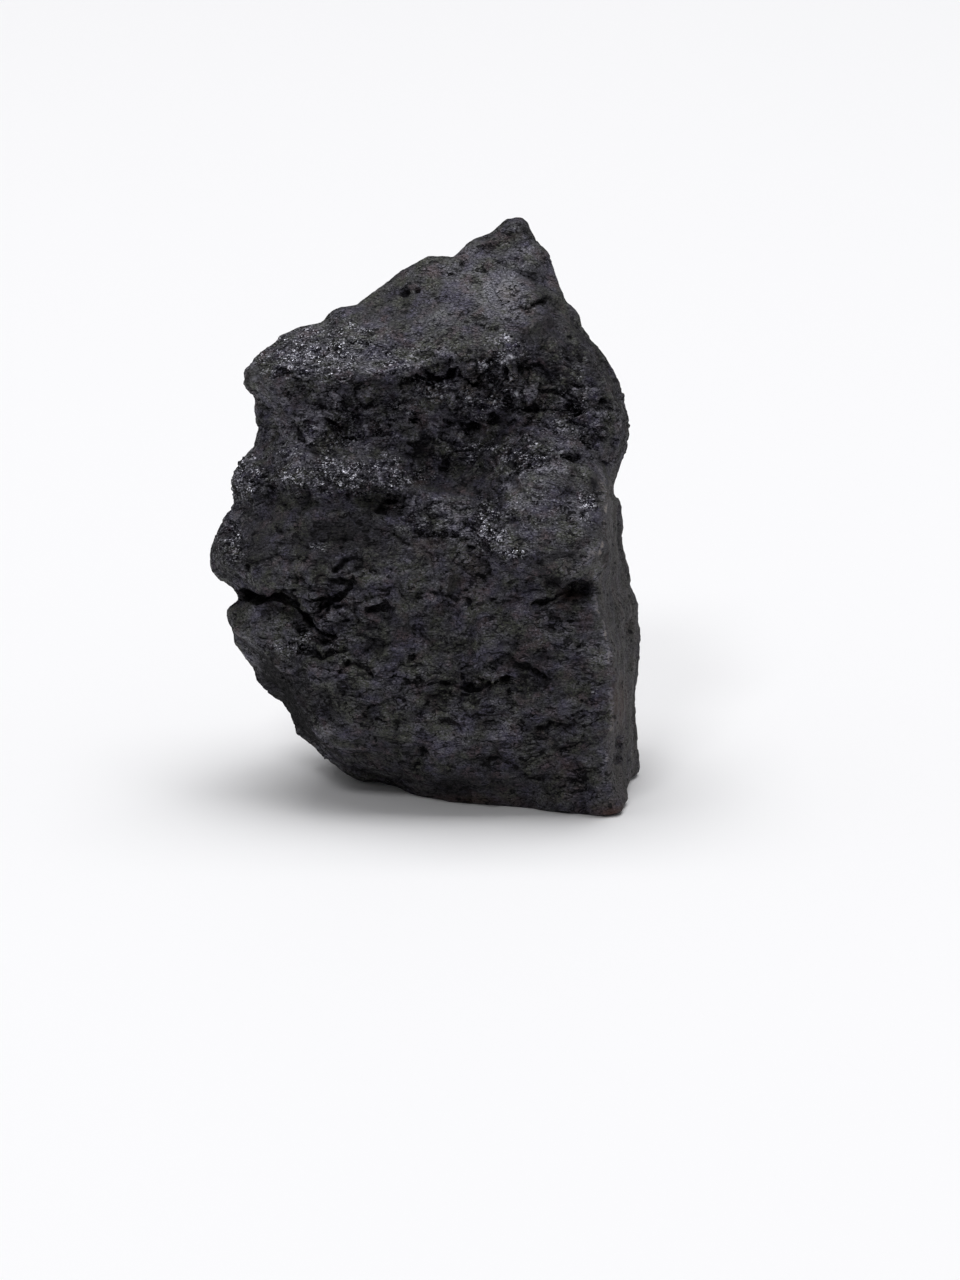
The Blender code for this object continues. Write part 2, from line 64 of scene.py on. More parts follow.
# The broken surface, in mm. A start is the number that starts a noise.
# Plates: (size, tilt, step between plates, start, flatness).
PLATES = [(3.6, 0.12, 0.12, 3, 0.55), (1.7, 0.09, 0.05, 4, 0.5), (0.85, 0.11, 0.03, 5, 0.5)]
CRYSTAL_PLATES = (0.85, 0.9, 0.05, 17)  # a plate of the glittering places
FLAKES = [(1.25, 3.4, 0.16, 6), (0.62, 1.9, 0.09, 8)]  # (spacing, length, step between flakes, start)
GRAINS = [(0.8, 0.04, 21), (0.45, 0.04, 22)]  # (size, height, start)
FLUTES = (np.array([3.4, 16.0, 3.4]), 0.3, 61)  # down the worn flank: (size each way, height, start)
PLATE_WARP = 0.3  # how far the borders of plates wander, as a share of their size
CREVICE = 0.06  # depth of the crevice round a plate, as a share of the plate's size
CREVICE_WIDTH = 0.12  # width of that crevice, as a share of the plate's size
CRYSTAL_RISE = 0.8  # height of the crystal plates as a share of what their tilt gives
CRUMBLY_GAIN = 1.4  # how much higher the relief is where the break is crumbly
EVEN_CALM = 0.65  # share of the relief taken off where the break is even
FLANK_CALM = 0.35  # share of the relief taken off on the worn flank
EDGE_SHARE = 0.3  # share of the relief left where the surface turns away from the broad face
MOAT = 0.4  # depth of the groove round a knob, as a share of the knob's rise
KNOB_SIDES = 5  # straight sides of a knob, as broken crystals have
KNOB_TILT = 0.3  # how far a knob's top slopes, as a share of its rise
FOOT_FADE = 0.6 * MM  # the relief fades out over this height above the flat foot
FLOOR_CLEARANCE = 0.02 * MM  # the stage's floor lies this far under the foot

# How places are pushed about so that what is drawn there has a ragged edge: (size, reach, starts), in mm.
WANDERS = [(2.6, 0.5, (35, 51)), (0.9, 0.25, (31, 47))]
PAINTED_GLINT_WANDER = (0.45, 0.2, 91)  # for the outlines of the painted glints: (size, reach, start)
PAINTED_GLINT_SHARE = 3.2  # how strongly a painted glint shows; the coarse crystals glitter up to 2
SOLID_PAINTED_GLINT = (2.2, 2.8)  # glitter from which the grains give way to one whole painted glint

# Cracks: (points along it, half width, depth), in mm.
CRACKS = [
    # the open crack at the left and its branches
    ([(-23.4, 24.7), (-20.0, 24.9), (-17.2, 24.8), (-15.4, 23.9), (-14.4, 22.6), (-13.6, 21.4),
      (-12.0, 20.7), (-10.6, 20.2)], 0.36, 1.5),
    ([(-23.6, 24.9), (-20.0, 25.0), (-17.2, 24.9)], 0.42, 1.6),
    ([(-14.6, 24.5), (-12.0, 24.7), (-10.4, 25.0), (-9.2, 26.0)], 0.22, 0.9),
    ([(-13.6, 22.6), (-12.2, 23.6), (-11.2, 24.2)], 0.28, 0.7),
    ([(-15.0, 19.0), (-13.2, 18.8), (-12.4, 18.0), (-11.0, 18.6), (-9.6, 18.8)], 0.22, 0.9),
    ([(-9.4, 17.4), (-8.2, 16.8), (-6.2, 15.7)], 0.34, 1.2),
    ([(-9.4, 17.4), (-10.6, 15.8), (-11.6, 15.4)], 0.2, 0.5),
    ([(-6.9, 23.3), (-5.4, 23.8), (-4.8, 24.2)], 0.3, 0.8),
    ([(-10.9, 28.0), (-10.2, 28.9), (-9.6, 29.5)], 0.24, 0.8),
    ([(-11.6, 26.9), (-10.2, 27.0), (-9.2, 26.4), (-8.6, 26.9)], 0.3, 0.9),
    # right of the roof
    ([(11.6, 59.2), (13.0, 59.8), (14.4, 60.2)], 0.22, 0.7),
    ([(11.8, 47.0), (13.4, 47.5), (15.0, 47.2), (17.4, 47.3)], 0.16, 0.8),
    ([(16.4, 41.5), (17.3, 41.5), (18.0, 41.1)], 0.26, 0.9),
    ([(20.4, 41.4), (21.2, 40.6)], 0.16, 0.5),
    # under the roof's brow
    ([(-3.0, 50.3), (0.2, 51.0), (3.4, 51.3), (6.4, 51.2), (8.8, 52.0)], 0.3, 0.8),
    ([(3.0, 52.6), (6.2, 52.8)], 0.2, 0.5),
    # beside and under the shoulder
    ([(6.4, 32.0), (8.6, 30.0), (11.4, 28.2), (14.4, 27.2), (17.6, 27.6)], 0.24, 0.6),
    ([(12.6, 24.2), (14.2, 24.4), (15.8, 25.2)], 0.16, 0.9),
    ([(14.4, 23.6), (15.6, 22.4)], 0.2, 0.5),
    ([(0.4, 25.6), (2.4, 25.2), (3.4, 24.6)], 0.2, 0.6),
    # level slots of the lower body
    ([(1.8, 14.9), (4.0, 14.5), (6.6, 14.4), (8.4, 15.0), (9.6, 15.3)], 0.34, 1.1),
    ([(10.4, 17.0), (12.0, 16.6), (13.4, 15.8)], 0.24, 0.7),
    ([(0.4, 13.1), (1.6, 13.0), (2.4, 12.7)], 0.22, 0.6),
    ([(1.6, 10.6), (3.0, 10.3), (4.6, 9.8)], 0.22, 0.6),
    ([(13.0, 9.4), (14.4, 9.6), (17.0, 9.9)], 0.22, 0.6),
    ([(-18.0, 15.2), (-16.6, 14.2)], 0.14, 0.4),
]

# Thin ridges: (points along it, half width, rise), in mm.
RIDGES = [
    ([(20.6, 40.1), (20.8, 36.5), (20.8, 31.8), (19.9, 28.2)], 0.4, 0.25),
    ([(19.9, 27.6), (20.2, 24.1), (21.1, 19.9), (21.8, 15.2), (22.0, 10.4), (21.1, 5.7)], 0.4, 0.25),
    ([(10.2, 54.0), (11.6, 56.1), (14.0, 58.1)], 0.4, 0.4),
]

# Broken edges: (points along it, rise, reach), in mm. The side on the left of the walk stands out.
STEPS = [
    # the roof's brow and its right end
    ([(-21.0, 52.5), (-17.4, 51.9), (-12.7, 51.0), (-9.1, 51.9), (-6.8, 51.0), (-3.2, 51.4), (-2.0, 51.9),
      (1.5, 52.5), (6.3, 53.1), (9.8, 53.7), (11.0, 54.9), (12.8, 57.3), (14.0, 58.1)], 0.5, 1.2),
    # the lip of the left ledge
    ([(-18.0, 37.7), (-15.1, 38.1), (-11.5, 38.1), (-9.1, 37.7), (-5.6, 37.7), (-3.2, 37.5), (0.4, 36.5)],
     0.7, 1.6),
    # the shoulder's lower edge
    ([(5.5, 36.5), (6.0, 33.6), (7.5, 31.2), (10.1, 29.4), (13.4, 28.2), (17.0, 27.2), (19.3, 28.1),
      (20.5, 29.9), (20.9, 32.4)], 1.3, 2.6),
    # the lower lobe, and both lips of the open crack
    ([(-16.8, 36.4), (-19.6, 35.5), (-21.6, 34.9), (-23.1, 34.3)], 0.3, 1.0),
    ([(-14.4, 21.1), (-14.7, 22.5), (-15.7, 23.8), (-18.0, 24.3), (-21.0, 24.3), (-23.1, 23.8)], 0.35, 1.0),
    ([(-21.8, 24.9), (-18.6, 25.1), (-16.0, 25.1), (-14.5, 24.4), (-12.9, 23.2), (-11.7, 22.1)], 0.3, 1.0),
    # ledges of the lower body
    ([(-2.0, 16.0), (2.0, 15.3), (8.0, 15.4), (10.0, 16.0)], 0.3, 1.2),
    ([(2.0, 19.6), (6.0, 19.0), (10.0, 18.8)], 0.2, 1.0),
    ([(-6.0, 21.6), (-3.0, 21.0), (1.0, 21.2)], 0.2, 1.0),
    ([(10.0, 12.8), (14.0, 12.2), (18.0, 12.6)], 0.2, 1.0),
]

# Knobs in the recess: (across, up, radius, rise), in mm.
KNOBS = [
    (1.5, 51.7, 0.9, 0.9), (3.3, 50.2, 1.1, 1.0), (5.1, 51.7, 0.8, 0.9), (6.3, 49.0, 0.9, 0.9),
    (7.7, 51.0, 0.9, 0.9), (9.0, 49.6, 1.1, 1.0), (10.4, 51.4, 0.9, 0.9), (2.7, 48.4, 0.7, 0.8),
    (12.2, 49.2, 1.0, 0.8), (9.3, 53.1, 0.8, 0.7), (11.0, 54.3, 0.7, 0.6), (6.9, 52.9, 0.7, 0.6),
    (4.6, 49.6, 0.6, 0.6), (-0.4, 50.4, 0.8, 0.6), (7.9, 47.6, 0.8, 0.6), (4.4, 47.4, 0.7, 0.5),
]

# Swells of the stone's edge as seen from the front: (across, up, half width, half height, rise), in mm.
EDGE_SWELLS = [
    (24.8, 17.5, 4.0, 16.0, 0.6), (24.3, 24.0, 3.0, 6.0, 0.3), (23.0, 45.0, 4.0, 9.0, 0.5),
    (18.0, 58.0, 4.0, 7.0, 0.4), (23.0, 36.2, 1.6, 0.8, 0.7), (23.0, 1.5, 3.0, 4.0, 0.4),
    (-20.5, 46.0, 3.0, 6.0, 0.45), (-22.6, 38.0, 3.0, 4.0, 0.4), (-23.5, 34.2, 3.0, 2.0, 0.9),
    (-25.0, 28.6, 3.0, 3.0, 0.65), (-17.5, 13.5, 5.0, 5.5, -0.95), (-9.8, 58.4, 3.0, 1.6, 0.95),
    (-15.0, 56.2, 3.0, 1.6, 0.8), (5.7, 67.0, 2.5, 1.8, 0.75),
]

# Crumbs that fill part of a wide hollow: (points along it, half width, rise), in mm.
FILLS = [
    ([(15.6, 26.0), (18.6, 25.6)], 1.1, 1.5),
    ([(17.0, 24.4), (18.8, 24.0)], 0.6, 0.8),
    ([(17.3, 26.8), (18.4, 26.3)], 0.35, 0.6),
    ([(-18.6, 24.7), (-15.0, 23.4), (-13.9, 21.6), (-12.0, 20.6)], 0.7, 0.9),
    ([(-13.8, 20.4), (-12.0, 20.0), (-10.2, 20.3)], 0.7, 1.0),
    ([(2.6, 45.4), (4.6, 45.0), (6.6, 44.2)], 0.7, 1.3),
    ([(-5.4, 35.8), (-4.4, 34.8)], 0.7, 0.6),
    ([(3.4, 14.8), (8.4, 14.7)], 0.7, 0.8),
    ([(-9.4, 17.4), (-6.0, 15.8)], 0.7, 0.8),
    ([(-10.4, 45.4), (-9.4, 45.0), (-8.6, 43.6)], 0.7, 0.9),
    ([(-1.8, 46.0), (-0.8, 45.8)], 0.7, 0.9),
]

# Pits: (across, up, half width, half height, depth), in mm.
PITS = [
    (-1.4, 46.0, 0.55, 0.35, 1.2), (3.2, 45.4, 1.2, 0.4, 1.4), (5.2, 44.8, 0.9, 0.7, 1.8),
    (8.0, 46.2, 0.5, 0.3, 0.9), (-10.0, 45.0, 0.6, 0.45, 1.1), (-9.0, 43.8, 0.6, 0.4, 0.8),
    (20.8, 48.1, 0.5, 0.45, 1.1), (14.4, 60.4, 0.45, 0.4, 0.9), (-3.0, 61.3, 0.6, 0.4, 0.9),
    (-1.2, 61.7, 0.4, 0.3, 0.6), (-11.6, 56.0, 0.5, 0.3, 0.5), (-7.0, 56.4, 0.8, 0.35, 0.5),
    (-15.0, 52.5, 0.5, 0.4, 0.6), (4.2, 65.0, 0.45, 0.3, 0.5), (-4.4, 36.0, 0.7, 0.3, 1.0),
    (-5.0, 35.0, 0.7, 0.5, 1.2), (-15.4, 26.9, 0.35, 0.55, 0.9), (5.1, 24.4, 0.45, 0.4, 0.9),
    (9.6, 14.9, 0.3, 0.3, 0.6), (-0.6, 6.5, 0.36, 0.3, 0.9), (-1.4, 5.2, 0.45, 0.2, 0.6),
    (-9.6, 12.4, 0.35, 0.25, 0.5), (-9.6, 11.2, 0.3, 0.2, 0.4), (-10.0, 14.0, 0.25, 0.3, 0.4),
    (-6.0, 13.2, 0.3, 0.2, 0.5), (-14.6, 21.0, 0.7, 0.8, 0.9), (17.4, 25.8, 0.9, 0.6, 1.2),
    (22.4, 7.8, 0.5, 0.6, 0.7), (22.0, 5.8, 0.5, 0.5, 0.6), (23.4, 21.4, 0.5, 1.2, 0.5),
    (1.8, 32.2, 0.35, 0.5, 0.5), (4.9, 38.6, 0.4, 0.3, 0.4),
]

# Bands of painted highlight (share above 0) and painted shade (below 0): pale along the edge ridges
# and at the shoulder's corner, dark under the brow, under the ledge's lip and along and under the
# shoulder's rounded edge: (points along it, half width, share).
PAINTED_LIGHT_BANDS = [
    ([(16.2, 27.9), (17.8, 28.4), (19.6, 30.2)], 0.6, 1.5),
    ([(10.6, 29.6), (12.4, 28.9), (15.0, 29.6), (17.0, 30.2), (18.8, 31.4), (19.7, 33.0), (19.8, 38.6)],
     0.7, -1.2),
    ([(20.6, 40.1), (20.8, 36.5), (20.8, 31.8), (19.9, 28.8)], 0.24, 2.1),
    ([(19.9, 27.6), (20.2, 24.1), (21.1, 19.9), (21.8, 15.2), (22.0, 10.4), (21.1, 5.7)], 0.2, 1.9),
    ([(14.4, 26.8), (19.2, 26.4)], 0.6, -1.2),
    ([(-20.0, 51.4), (-9.0, 50.4), (-3.0, 50.6), (6.0, 51.6)], 0.4, -0.5),
    ([(-17.0, 36.6), (-9.0, 36.6), (-3.0, 36.4)], 0.5, -0.6),
]

# Clouds of paler (share above 0) and darker stone (below 0), partly the stone's own tone and partly
# painted light and shade: paler knobs under the brow, a darker right facet and a darker foot.
# (across, up, half width, half height, share).
TONE_AND_PAINTED_LIGHT_CLOUDS = [
    (17.5, 54.0, 5.0, 4.5, -0.9), (19.0, 45.5, 4.0, 3.0, -0.4), (-19.5, 50.2, 2.4, 2.2, -0.5),
    (-15.5, 50.0, 3.5, 2.0, 0.3), (8.0, 49.5, 5.0, 2.2, 0.4), (-8.0, 44.4, 3.5, 1.8, -0.1),
    (12.8, 43.6, 3.5, 2.0, -0.35), (-15.5, 39.4, 2.5, 1.4, -0.4), (-9.6, 38.6, 2.2, 1.2, 0.4),
    (1.6, 38.6, 4.0, 2.6, -0.4), (19.4, 38.0, 2.0, 1.8, -0.4), (18.0, 34.8, 3.2, 2.4, 0.7),
    (13.0, 34.5, 4.0, 3.0, 0.2), (-22.0, 29.6, 4.5, 4.5, -0.6), (-14.0, 31.5, 4.5, 3.5, -0.4),
    (-3.4, 31.6, 3.0, 3.0, -0.4), (5.6, 27.6, 2.6, 3.6, 0.7), (13.5, 21.8, 4.5, 2.2, 0.5),
    (-8.8, 21.6, 2.0, 2.0, -0.4), (-20.5, 17.5, 2.0, 3.5, 0.4), (6.5, 14.6, 4.5, 1.8, -0.5),
    (15.0, 14.6, 3.0, 1.8, -0.4), (-2.5, 7.0, 3.0, 2.0, -0.5), (3.5, 3.0, 5.0, 2.0, -0.6),
    (-11.5, 4.6, 3.0, 1.6, 0.6), (9.0, 62.5, 4.0, 2.5, 0.3), (-2.5, 60.8, 4.0, 1.2, -0.4),
    (14.5, 58.5, 1.8, 3.0, -0.5), (1.0, 46.0, 6.0, 1.8, -0.2), (-4.5, 38.0, 2.0, 1.6, -0.2),
    (-9.0, 32.4, 6.0, 3.4, -1.1), (-2.0, 57.4, 9.0, 3.6, -0.6), (-21.5, 31.0, 3.6, 3.6, -0.5),
    (-11.0, 46.6, 6.0, 3.4, 1.2), (3.0, 46.6, 6.0, 3.4, 0.9), (-18.6, 21.6, 3.0, 2.4, 0.7),
    (8.3, 34.9, 2.2, 1.4, -1.0), (7.5, 30.9, 3.5, 0.9, -0.5), (3.0, 51.6, 4.0, 1.6, 1.2),
    (8.5, 50.6, 3.5, 2.0, 0.8), (8.0, 2.6, 10.0, 2.6, -0.5), (0.1, 49.6, 1.0, 0.7, 1.5),
    (1.3, 48.4, 0.8, 0.6, 1.2), (9.5, 53.1, 1.5, 0.9, 1.3), (8.7, 55.4, 1.2, 0.6, 1.0),
    (7.9, 48.3, 1.1, 0.8, 1.5), (10.1, 50.8, 0.9, 0.8, 1.2), (11.6, 49.0, 1.6, 1.0, 1.0),
    (4.8, 49.3, 0.9, 0.7, 1.2), (3.9, 44.2, 1.0, 0.6, 1.4), (5.4, 42.8, 1.0, 0.6, 1.1),
    (5.9, 51.9, 1.2, 0.7, 0.6), (-19.0, 14.5, 3.0, 4.0, 0.8), (-13.5, 6.6, 3.6, 3.2, 0.8),
    (9.4, 60.8, 2.4, 3.0, 0.6), (-8.9, 40.0, 2.0, 0.9, 0.7), (2.0, 42.0, 5.0, 2.0, -0.5),
    (-9.6, 40.6, 4.4, 1.6, -0.6), (12.0, 39.0, 5.0, 3.0, -0.4), (9.6, 60.5, 3.6, 3.0, 0.7),
]

# Where the stone broke through coarse crystals, which glitter and carry painted glints and painted
# dark faces: (across, up, half width, half height, share).
GLITTER_AND_PAINTED_GLINTS = [
    (-13.0, 54.0, 7.0, 3.2, 0.9), (-4.0, 52.6, 5.0, 1.8, 0.5), (-11.0, 39.4, 7.0, 1.9, 1.15),
    (-4.0, 39.2, 4.0, 1.8, 0.6), (-9.0, 44.4, 5.4, 3.4, 0.45), (1.6, 49.4, 2.4, 1.7, 0.9),
    (8.6, 50.4, 2.0, 1.6, 0.9), (9.6, 54.0, 2.4, 1.4, 0.9), (0.1, 49.6, 0.9, 0.6, 1.0),
    (9.5, 53.1, 1.3, 0.8, 0.9), (7.5, 48.1, 1.0, 0.7, 1.6), (10.1, 50.8, 0.9, 0.7, 0.8),
    (3.9, 44.2, 0.9, 0.5, 1.2), (4.8, 49.3, 0.8, 0.6, 1.2), (-10.0, 43.0, 0.5, 0.3, 2.2),
    (-8.9, 39.9, 1.5, 0.7, 2.0), (5.6, 47.6, 2.4, 1.6, 0.6), (-3.0, 47.8, 2.6, 1.8, 0.4),
    (5.0, 42.6, 3.4, 2.0, 0.45), (12.0, 41.4, 6.0, 2.2, 0.45), (7.4, 33.0, 1.9, 2.4, 0.95),
    (6.9, 32.2, 1.0, 0.8, 1.8), (10.1, 30.0, 1.3, 0.6, 1.8), (18.9, 35.4, 0.9, 1.5, 1.5),
    (-22.0, 39.6, 2.4, 3.8, 0.8), (-23.2, 32.0, 1.6, 2.6, 0.6), (-15.8, 19.2, 1.9, 0.8, 1.1),
    (-10.6, 18.8, 0.3, 0.8, 1.4), (-12.8, 30.8, 0.7, 0.35, 1.0), (0.0, 34.0, 3.4, 2.4, 0.45),
    (-17.0, 42.6, 3.0, 2.0, 0.5), (12.0, 35.0, 5.0, 3.0, 0.25), (17.0, 47.0, 5.0, 5.0, 0.3),
]

# Painted glints, single crystal faces painted pale: (across, up, half width, half height), in mm.
PAINTED_GLINTS = [
    (0.1, 49.7, 0.9, 0.6), (9.4, 55.6, 0.5, 0.4), (9.9, 53.2, 1.1, 0.6), (9.0, 52.7, 0.7, 0.5),
    (7.6, 50.0, 0.6, 0.6), (8.0, 48.2, 0.85, 0.6), (9.9, 50.8, 0.7, 0.5), (10.6, 49.0, 0.7, 0.6),
    (4.9, 48.5, 0.6, 0.45), (6.8, 52.2, 0.7, 0.5), (2.1, 49.9, 0.6, 0.45), (4.1, 44.2, 0.7, 0.5),
    (5.6, 43.0, 0.6, 0.45), (1.6, 48.6, 0.6, 0.45), (-9.3, 39.6, 0.7, 0.35), (-8.4, 39.2, 0.45, 0.35),
    (-10.4, 39.9, 0.5, 0.3), (-9.0, 38.8, 0.4, 0.3), (-9.2, 43.4, 0.45, 0.3), (-11.2, 40.8, 0.6, 0.3),
    (-16.7, 39.0, 0.45, 0.35), (-21.3, 38.2, 0.4, 0.3), (-20.0, 39.8, 0.35, 0.45), (-4.9, 41.7, 0.6, 0.3),
    (-3.5, 41.0, 0.4, 0.35), (-13.3, 45.1, 0.35, 0.3), (-13.9, 53.8, 0.5, 0.3), (-12.4, 54.4, 0.4, 0.3),
    (-9.1, 57.2, 0.35, 0.25), (-14.8, 55.0, 0.45, 0.3), (7.0, 32.9, 0.7, 0.4), (7.9, 32.5, 0.45, 0.35),
    (6.6, 32.2, 0.5, 0.3), (6.9, 33.7, 0.4, 0.3), (9.4, 30.2, 0.6, 0.28), (10.3, 29.7, 0.55, 0.26),
    (18.6, 35.6, 0.5, 0.5), (18.8, 34.7, 0.4, 0.35), (18.2, 36.2, 0.4, 0.3), (-13.9, 20.7, 0.7, 0.5),
    (-15.6, 19.0, 0.35, 0.3), (19.8, 14.1, 0.3, 0.3),
]

# The recess, which light from above does not reach, where the painted glints are made matt:
# (across, up, half width, half height, share).
SHADE = [(5.5, 49.0, 7.0, 5.0, 1.6)]

# Where the break is crumbly: (across, up, half width, half height, share).
CRUMBLY = [
    (5.5, 49.8, 6.5, 4.0, 1.0), (-10.0, 45.5, 8.0, 4.4, 0.75), (-9.0, 39.2, 9.0, 2.4, 0.9),
    (-11.0, 22.6, 4.0, 4.0, 0.6), (7.0, 32.6, 2.6, 4.0, 0.9), (-3.0, 36.0, 3.0, 2.0, 0.7),
    (8.0, 15.0, 6.0, 2.4, 0.35), (-14.0, 53.6, 6.0, 2.2, 0.5), (12.0, 41.6, 6.0, 2.6, 0.7),
    (-22.4, 39.0, 2.5, 4.0, 0.8), (17.5, 47.5, 6.0, 8.0, 0.55), (1.0, 43.0, 6.0, 4.0, 0.45),
    (-23.0, 31.5, 2.0, 4.0, 0.6), (1.0, 33.0, 4.0, 3.0, 0.45),
]

# Where the break is even: (across, up, half width, half height, share).
EVEN = [
    (14.6, 34.4, 5.0, 4.2, 1.0), (-9.0, 34.0, 5.0, 2.6, 0.5), (8.0, 26.4, 7.0, 2.6, 0.8),
    (-20.0, 21.0, 3.4, 3.0, 0.7), (12.0, 20.8, 6.0, 2.0, 0.5),
]

# Fine ribs of coarse crystals, in mm and radians:
# (across, up, half width, half height, angle, spacing, rise).
RIBS = [
    (8.0, 32.6, 2.4, 4.0, math.radians(-42), 0.8, 0.3), (-9.0, 39.4, 5.0, 1.4, math.radians(-8), 0.7, 0.2),
]

# Where the surface is glossier and carries a pale painted sheen, mostly on the roof:
# (across, up, half width, half height, share).
GLOSS_AND_PAINTED_SHEEN = [
    (7.4, 61.4, 0.9, 1.5, 2.2), (10.4, 62.9, 1.8, 1.4, 1.2), (1.6, 57.8, 2.2, 1.5, 1.2),
    (5.2, 64.0, 2.0, 1.4, 0.4), (-11.0, 54.4, 6.0, 2.0, 0.5), (-9.0, 39.6, 4.0, 1.2, 0.8),
    (14.6, 40.6, 4.0, 3.0, 0.4), (18.6, 34.8, 1.0, 1.8, 0.9), (-22.0, 33.4, 1.2, 1.6, 0.5),
    (0.4, 35.0, 3.0, 1.2, 0.3),
]

# Where iron has rusted to brown: (across, up, half width, half height, share).
RUST = [
    (16.8, 25.2, 1.1, 0.6, 0.7), (15.8, 23.9, 0.6, 0.4, 0.5), (22.8, 12.4, 1.0, 3.0, 0.45),
    (21.8, -0.6, 2.4, 0.9, 0.9), (4.0, 0.8, 6.0, 0.7, 0.5), (-0.2, 31.0, 1.4, 0.8, 0.3),
    (5.6, 28.0, 1.2, 2.4, 0.25), (16.6, 4.6, 1.4, 1.6, 0.25), (-1.0, 38.6, 0.7, 0.5, 0.5),
]


def linear(hex_colour):
    """An sRGB hex colour as linear red, green, blue and alpha."""
    shares = [int(hex_colour[i:i + 2], 16) / 255 for i in (0, 2, 4)]
    return [s / 12.92 if s <= 0.04045 else ((s + 0.055) / 1.055) ** 2.4 for s in shares] + [1.0]


def colour_setting(name, description, hex_colour):
    return bpy.props.FloatVectorProperty(
        name=name, description=description, size=4, subtype="COLOR",
        default=linear(hex_colour), min=0.0, max=1.0)


class StoneSettings(bpy.types.PropertyGroup):
    mesh_spacing: bpy.props.FloatProperty(
        name="Mesh spacing", description="Spacing of the even mesh that the broken surface is cut into",
        default=0.22 * MM, min=0.1 * MM, unit="LENGTH", precision=5)
    triangles: bpy.props.IntProperty(
        name="Triangles", description="Triangles kept in the finished surface",
        default=192000, min=10000, max=199000)
    roughness: bpy.props.FloatProperty(
        name="Roughness of the break", description="Height of the chips and flakes as a share of the usual",
        default=1.0, min=0.0, max=3.0, subtype="FACTOR")
    grey: colour_setting("Stone colour", "The dull grey of the broken stone", "484557")
    # the deep colour also carries the painted shade of the bands and clouds
    dark: colour_setting("Deep colour", "The darker grey of fresh and sheltered places", "232127")
    # the dust colour also carries the painted highlights of the bands and clouds
    dust: colour_setting("Dust colour", "The paler grey of crushed grains", "7E7C86")
    olive: colour_setting("Olive colour", "The greenish grey of some clouds in the stone", "484A41")
    rose: colour_setting("Rose colour", "The reddish grey of some spots in the stone", "504246")
    rust: colour_setting("Rust colour", "The brown of rusted places", "4A2E24")


class StageSettings(bpy.types.PropertyGroup):
    floor_side: bpy.props.FloatProperty(
        name="Floor side", description="Side of the square floor", default=8.0, min=0.5, unit="LENGTH")
    floor: colour_setting("Floor colour", "Colour of the matt floor", "F6F6F8")
    light: bpy.props.FloatProperty(
        name="Light", description="Strength of all the lamps, as a share of the usual", default=1.0, min=0.0)
    camera_distance: bpy.props.FloatProperty(
        name="Camera distance", description="From the camera to the stone's broad face",
        default=0.9, min=0.2, unit="LENGTH")
    camera_height: bpy.props.FloatProperty(
        name="Camera elevation", description="How far the camera looks down",
        default=math.radians(15.0), unit="ROTATION")


# ---- steady noise ------------------------------------------------------------------------------


def cell_numbers(cells, start):
    """A steady number from 0 to 1 for each whole-number cell (rows of three)."""
    steps = np.array([73856093, 19349663, 83492791], np.int64)
    mixed = np.bitwise_xor.reduce(cells * steps, axis=1) ^ (start * 2654435761)
    mixed = (mixed & 0xFFFFFFFF).astype(np.uint32)
    for shift, factor in ((16, 0x85EBCA6B), (13, 0xC2B2AE35), (16, 1)):
        mixed = (mixed ^ (mixed >> np.uint32(shift))) * np.uint32(factor)
    return mixed / 2.0 ** 32


def cell_vectors(cells, start):
    """A steady vector for each cell, each part from -1 to 1."""
    return np.stack([cell_numbers(cells, start + i) * 2.0 - 1.0 for i in range(3)], axis=1)


def swells(places, start):
    """Smooth noise from about -1 to 1, one wave in each unit of length."""
    corner_cell = np.floor(places).astype(np.int64)
    inside = places - corner_cell
    fade = inside ** 3 * (inside * (inside * 6.0 - 15.0) + 10.0)
    total = np.zeros(len(places))
    for corner in itertools.product((0, 1), repeat=3):
        slope = cell_vectors(corner_cell + corner, start)
        weight = np.prod(np.where(corner, fade, 1.0 - fade), axis=1)
        total += weight * np.sum(slope * (inside - corner), axis=1)
    return total * 1.4


def nearest_cells(places, start):
    """Each place's offset from its nearest scattered centre, the centre's cell, and the way to the border."""
    home = np.floor(places).astype(np.int64)
    nearest, second = np.full(len(places), np.inf), np.full(len(places), np.inf)
    offset, owner = np.zeros(places.shape), home.copy()
    for step in itertools.product((-1, 0, 1), repeat=3):
        cell = home + step
        reach = places - cell - (cell_vectors(cell, start) * 0.42 + 0.5)
        far = np.sqrt(np.sum(reach ** 2, axis=1))
        closer = far < nearest
        second = np.where(closer, nearest, np.minimum(second, far))
        nearest = np.where(closer, far, nearest)
        offset[closer], owner[closer] = reach[closer], cell[closer]
    return offset, owner, second - nearest


# ---- where things are on the stone -------------------------------------------------------------


def to_drawing(rows):
    """Frame vectors, one a row, turned into (across, up, out)."""
    lean_sin, lean_cos = math.sin(FACE_LEAN), math.cos(FACE_LEAN)
    x, y, z = rows.T
    return np.stack([x, y * lean_sin + z * lean_cos, z * lean_sin - y * lean_cos], axis=1)


def distance_to(line, places):
    """How far each (across, up) place lies from a line of points."""
    nearest = np.full(len(places), np.inf)
    for start, end in zip(np.array(line[:-1]), np.array(line[1:])):
        along = end - start
        share = np.clip((places - start) @ along / (along @ along), 0.0, 1.0)
        nearest = np.minimum(nearest, np.linalg.norm(places - start - share[:, None] * along, axis=1))
    return nearest


def near_line(line, places, half_width):
    """From 1 on a line of points, falling off over the half width."""
    return np.exp(-(distance_to(line, places) / half_width) ** 2)


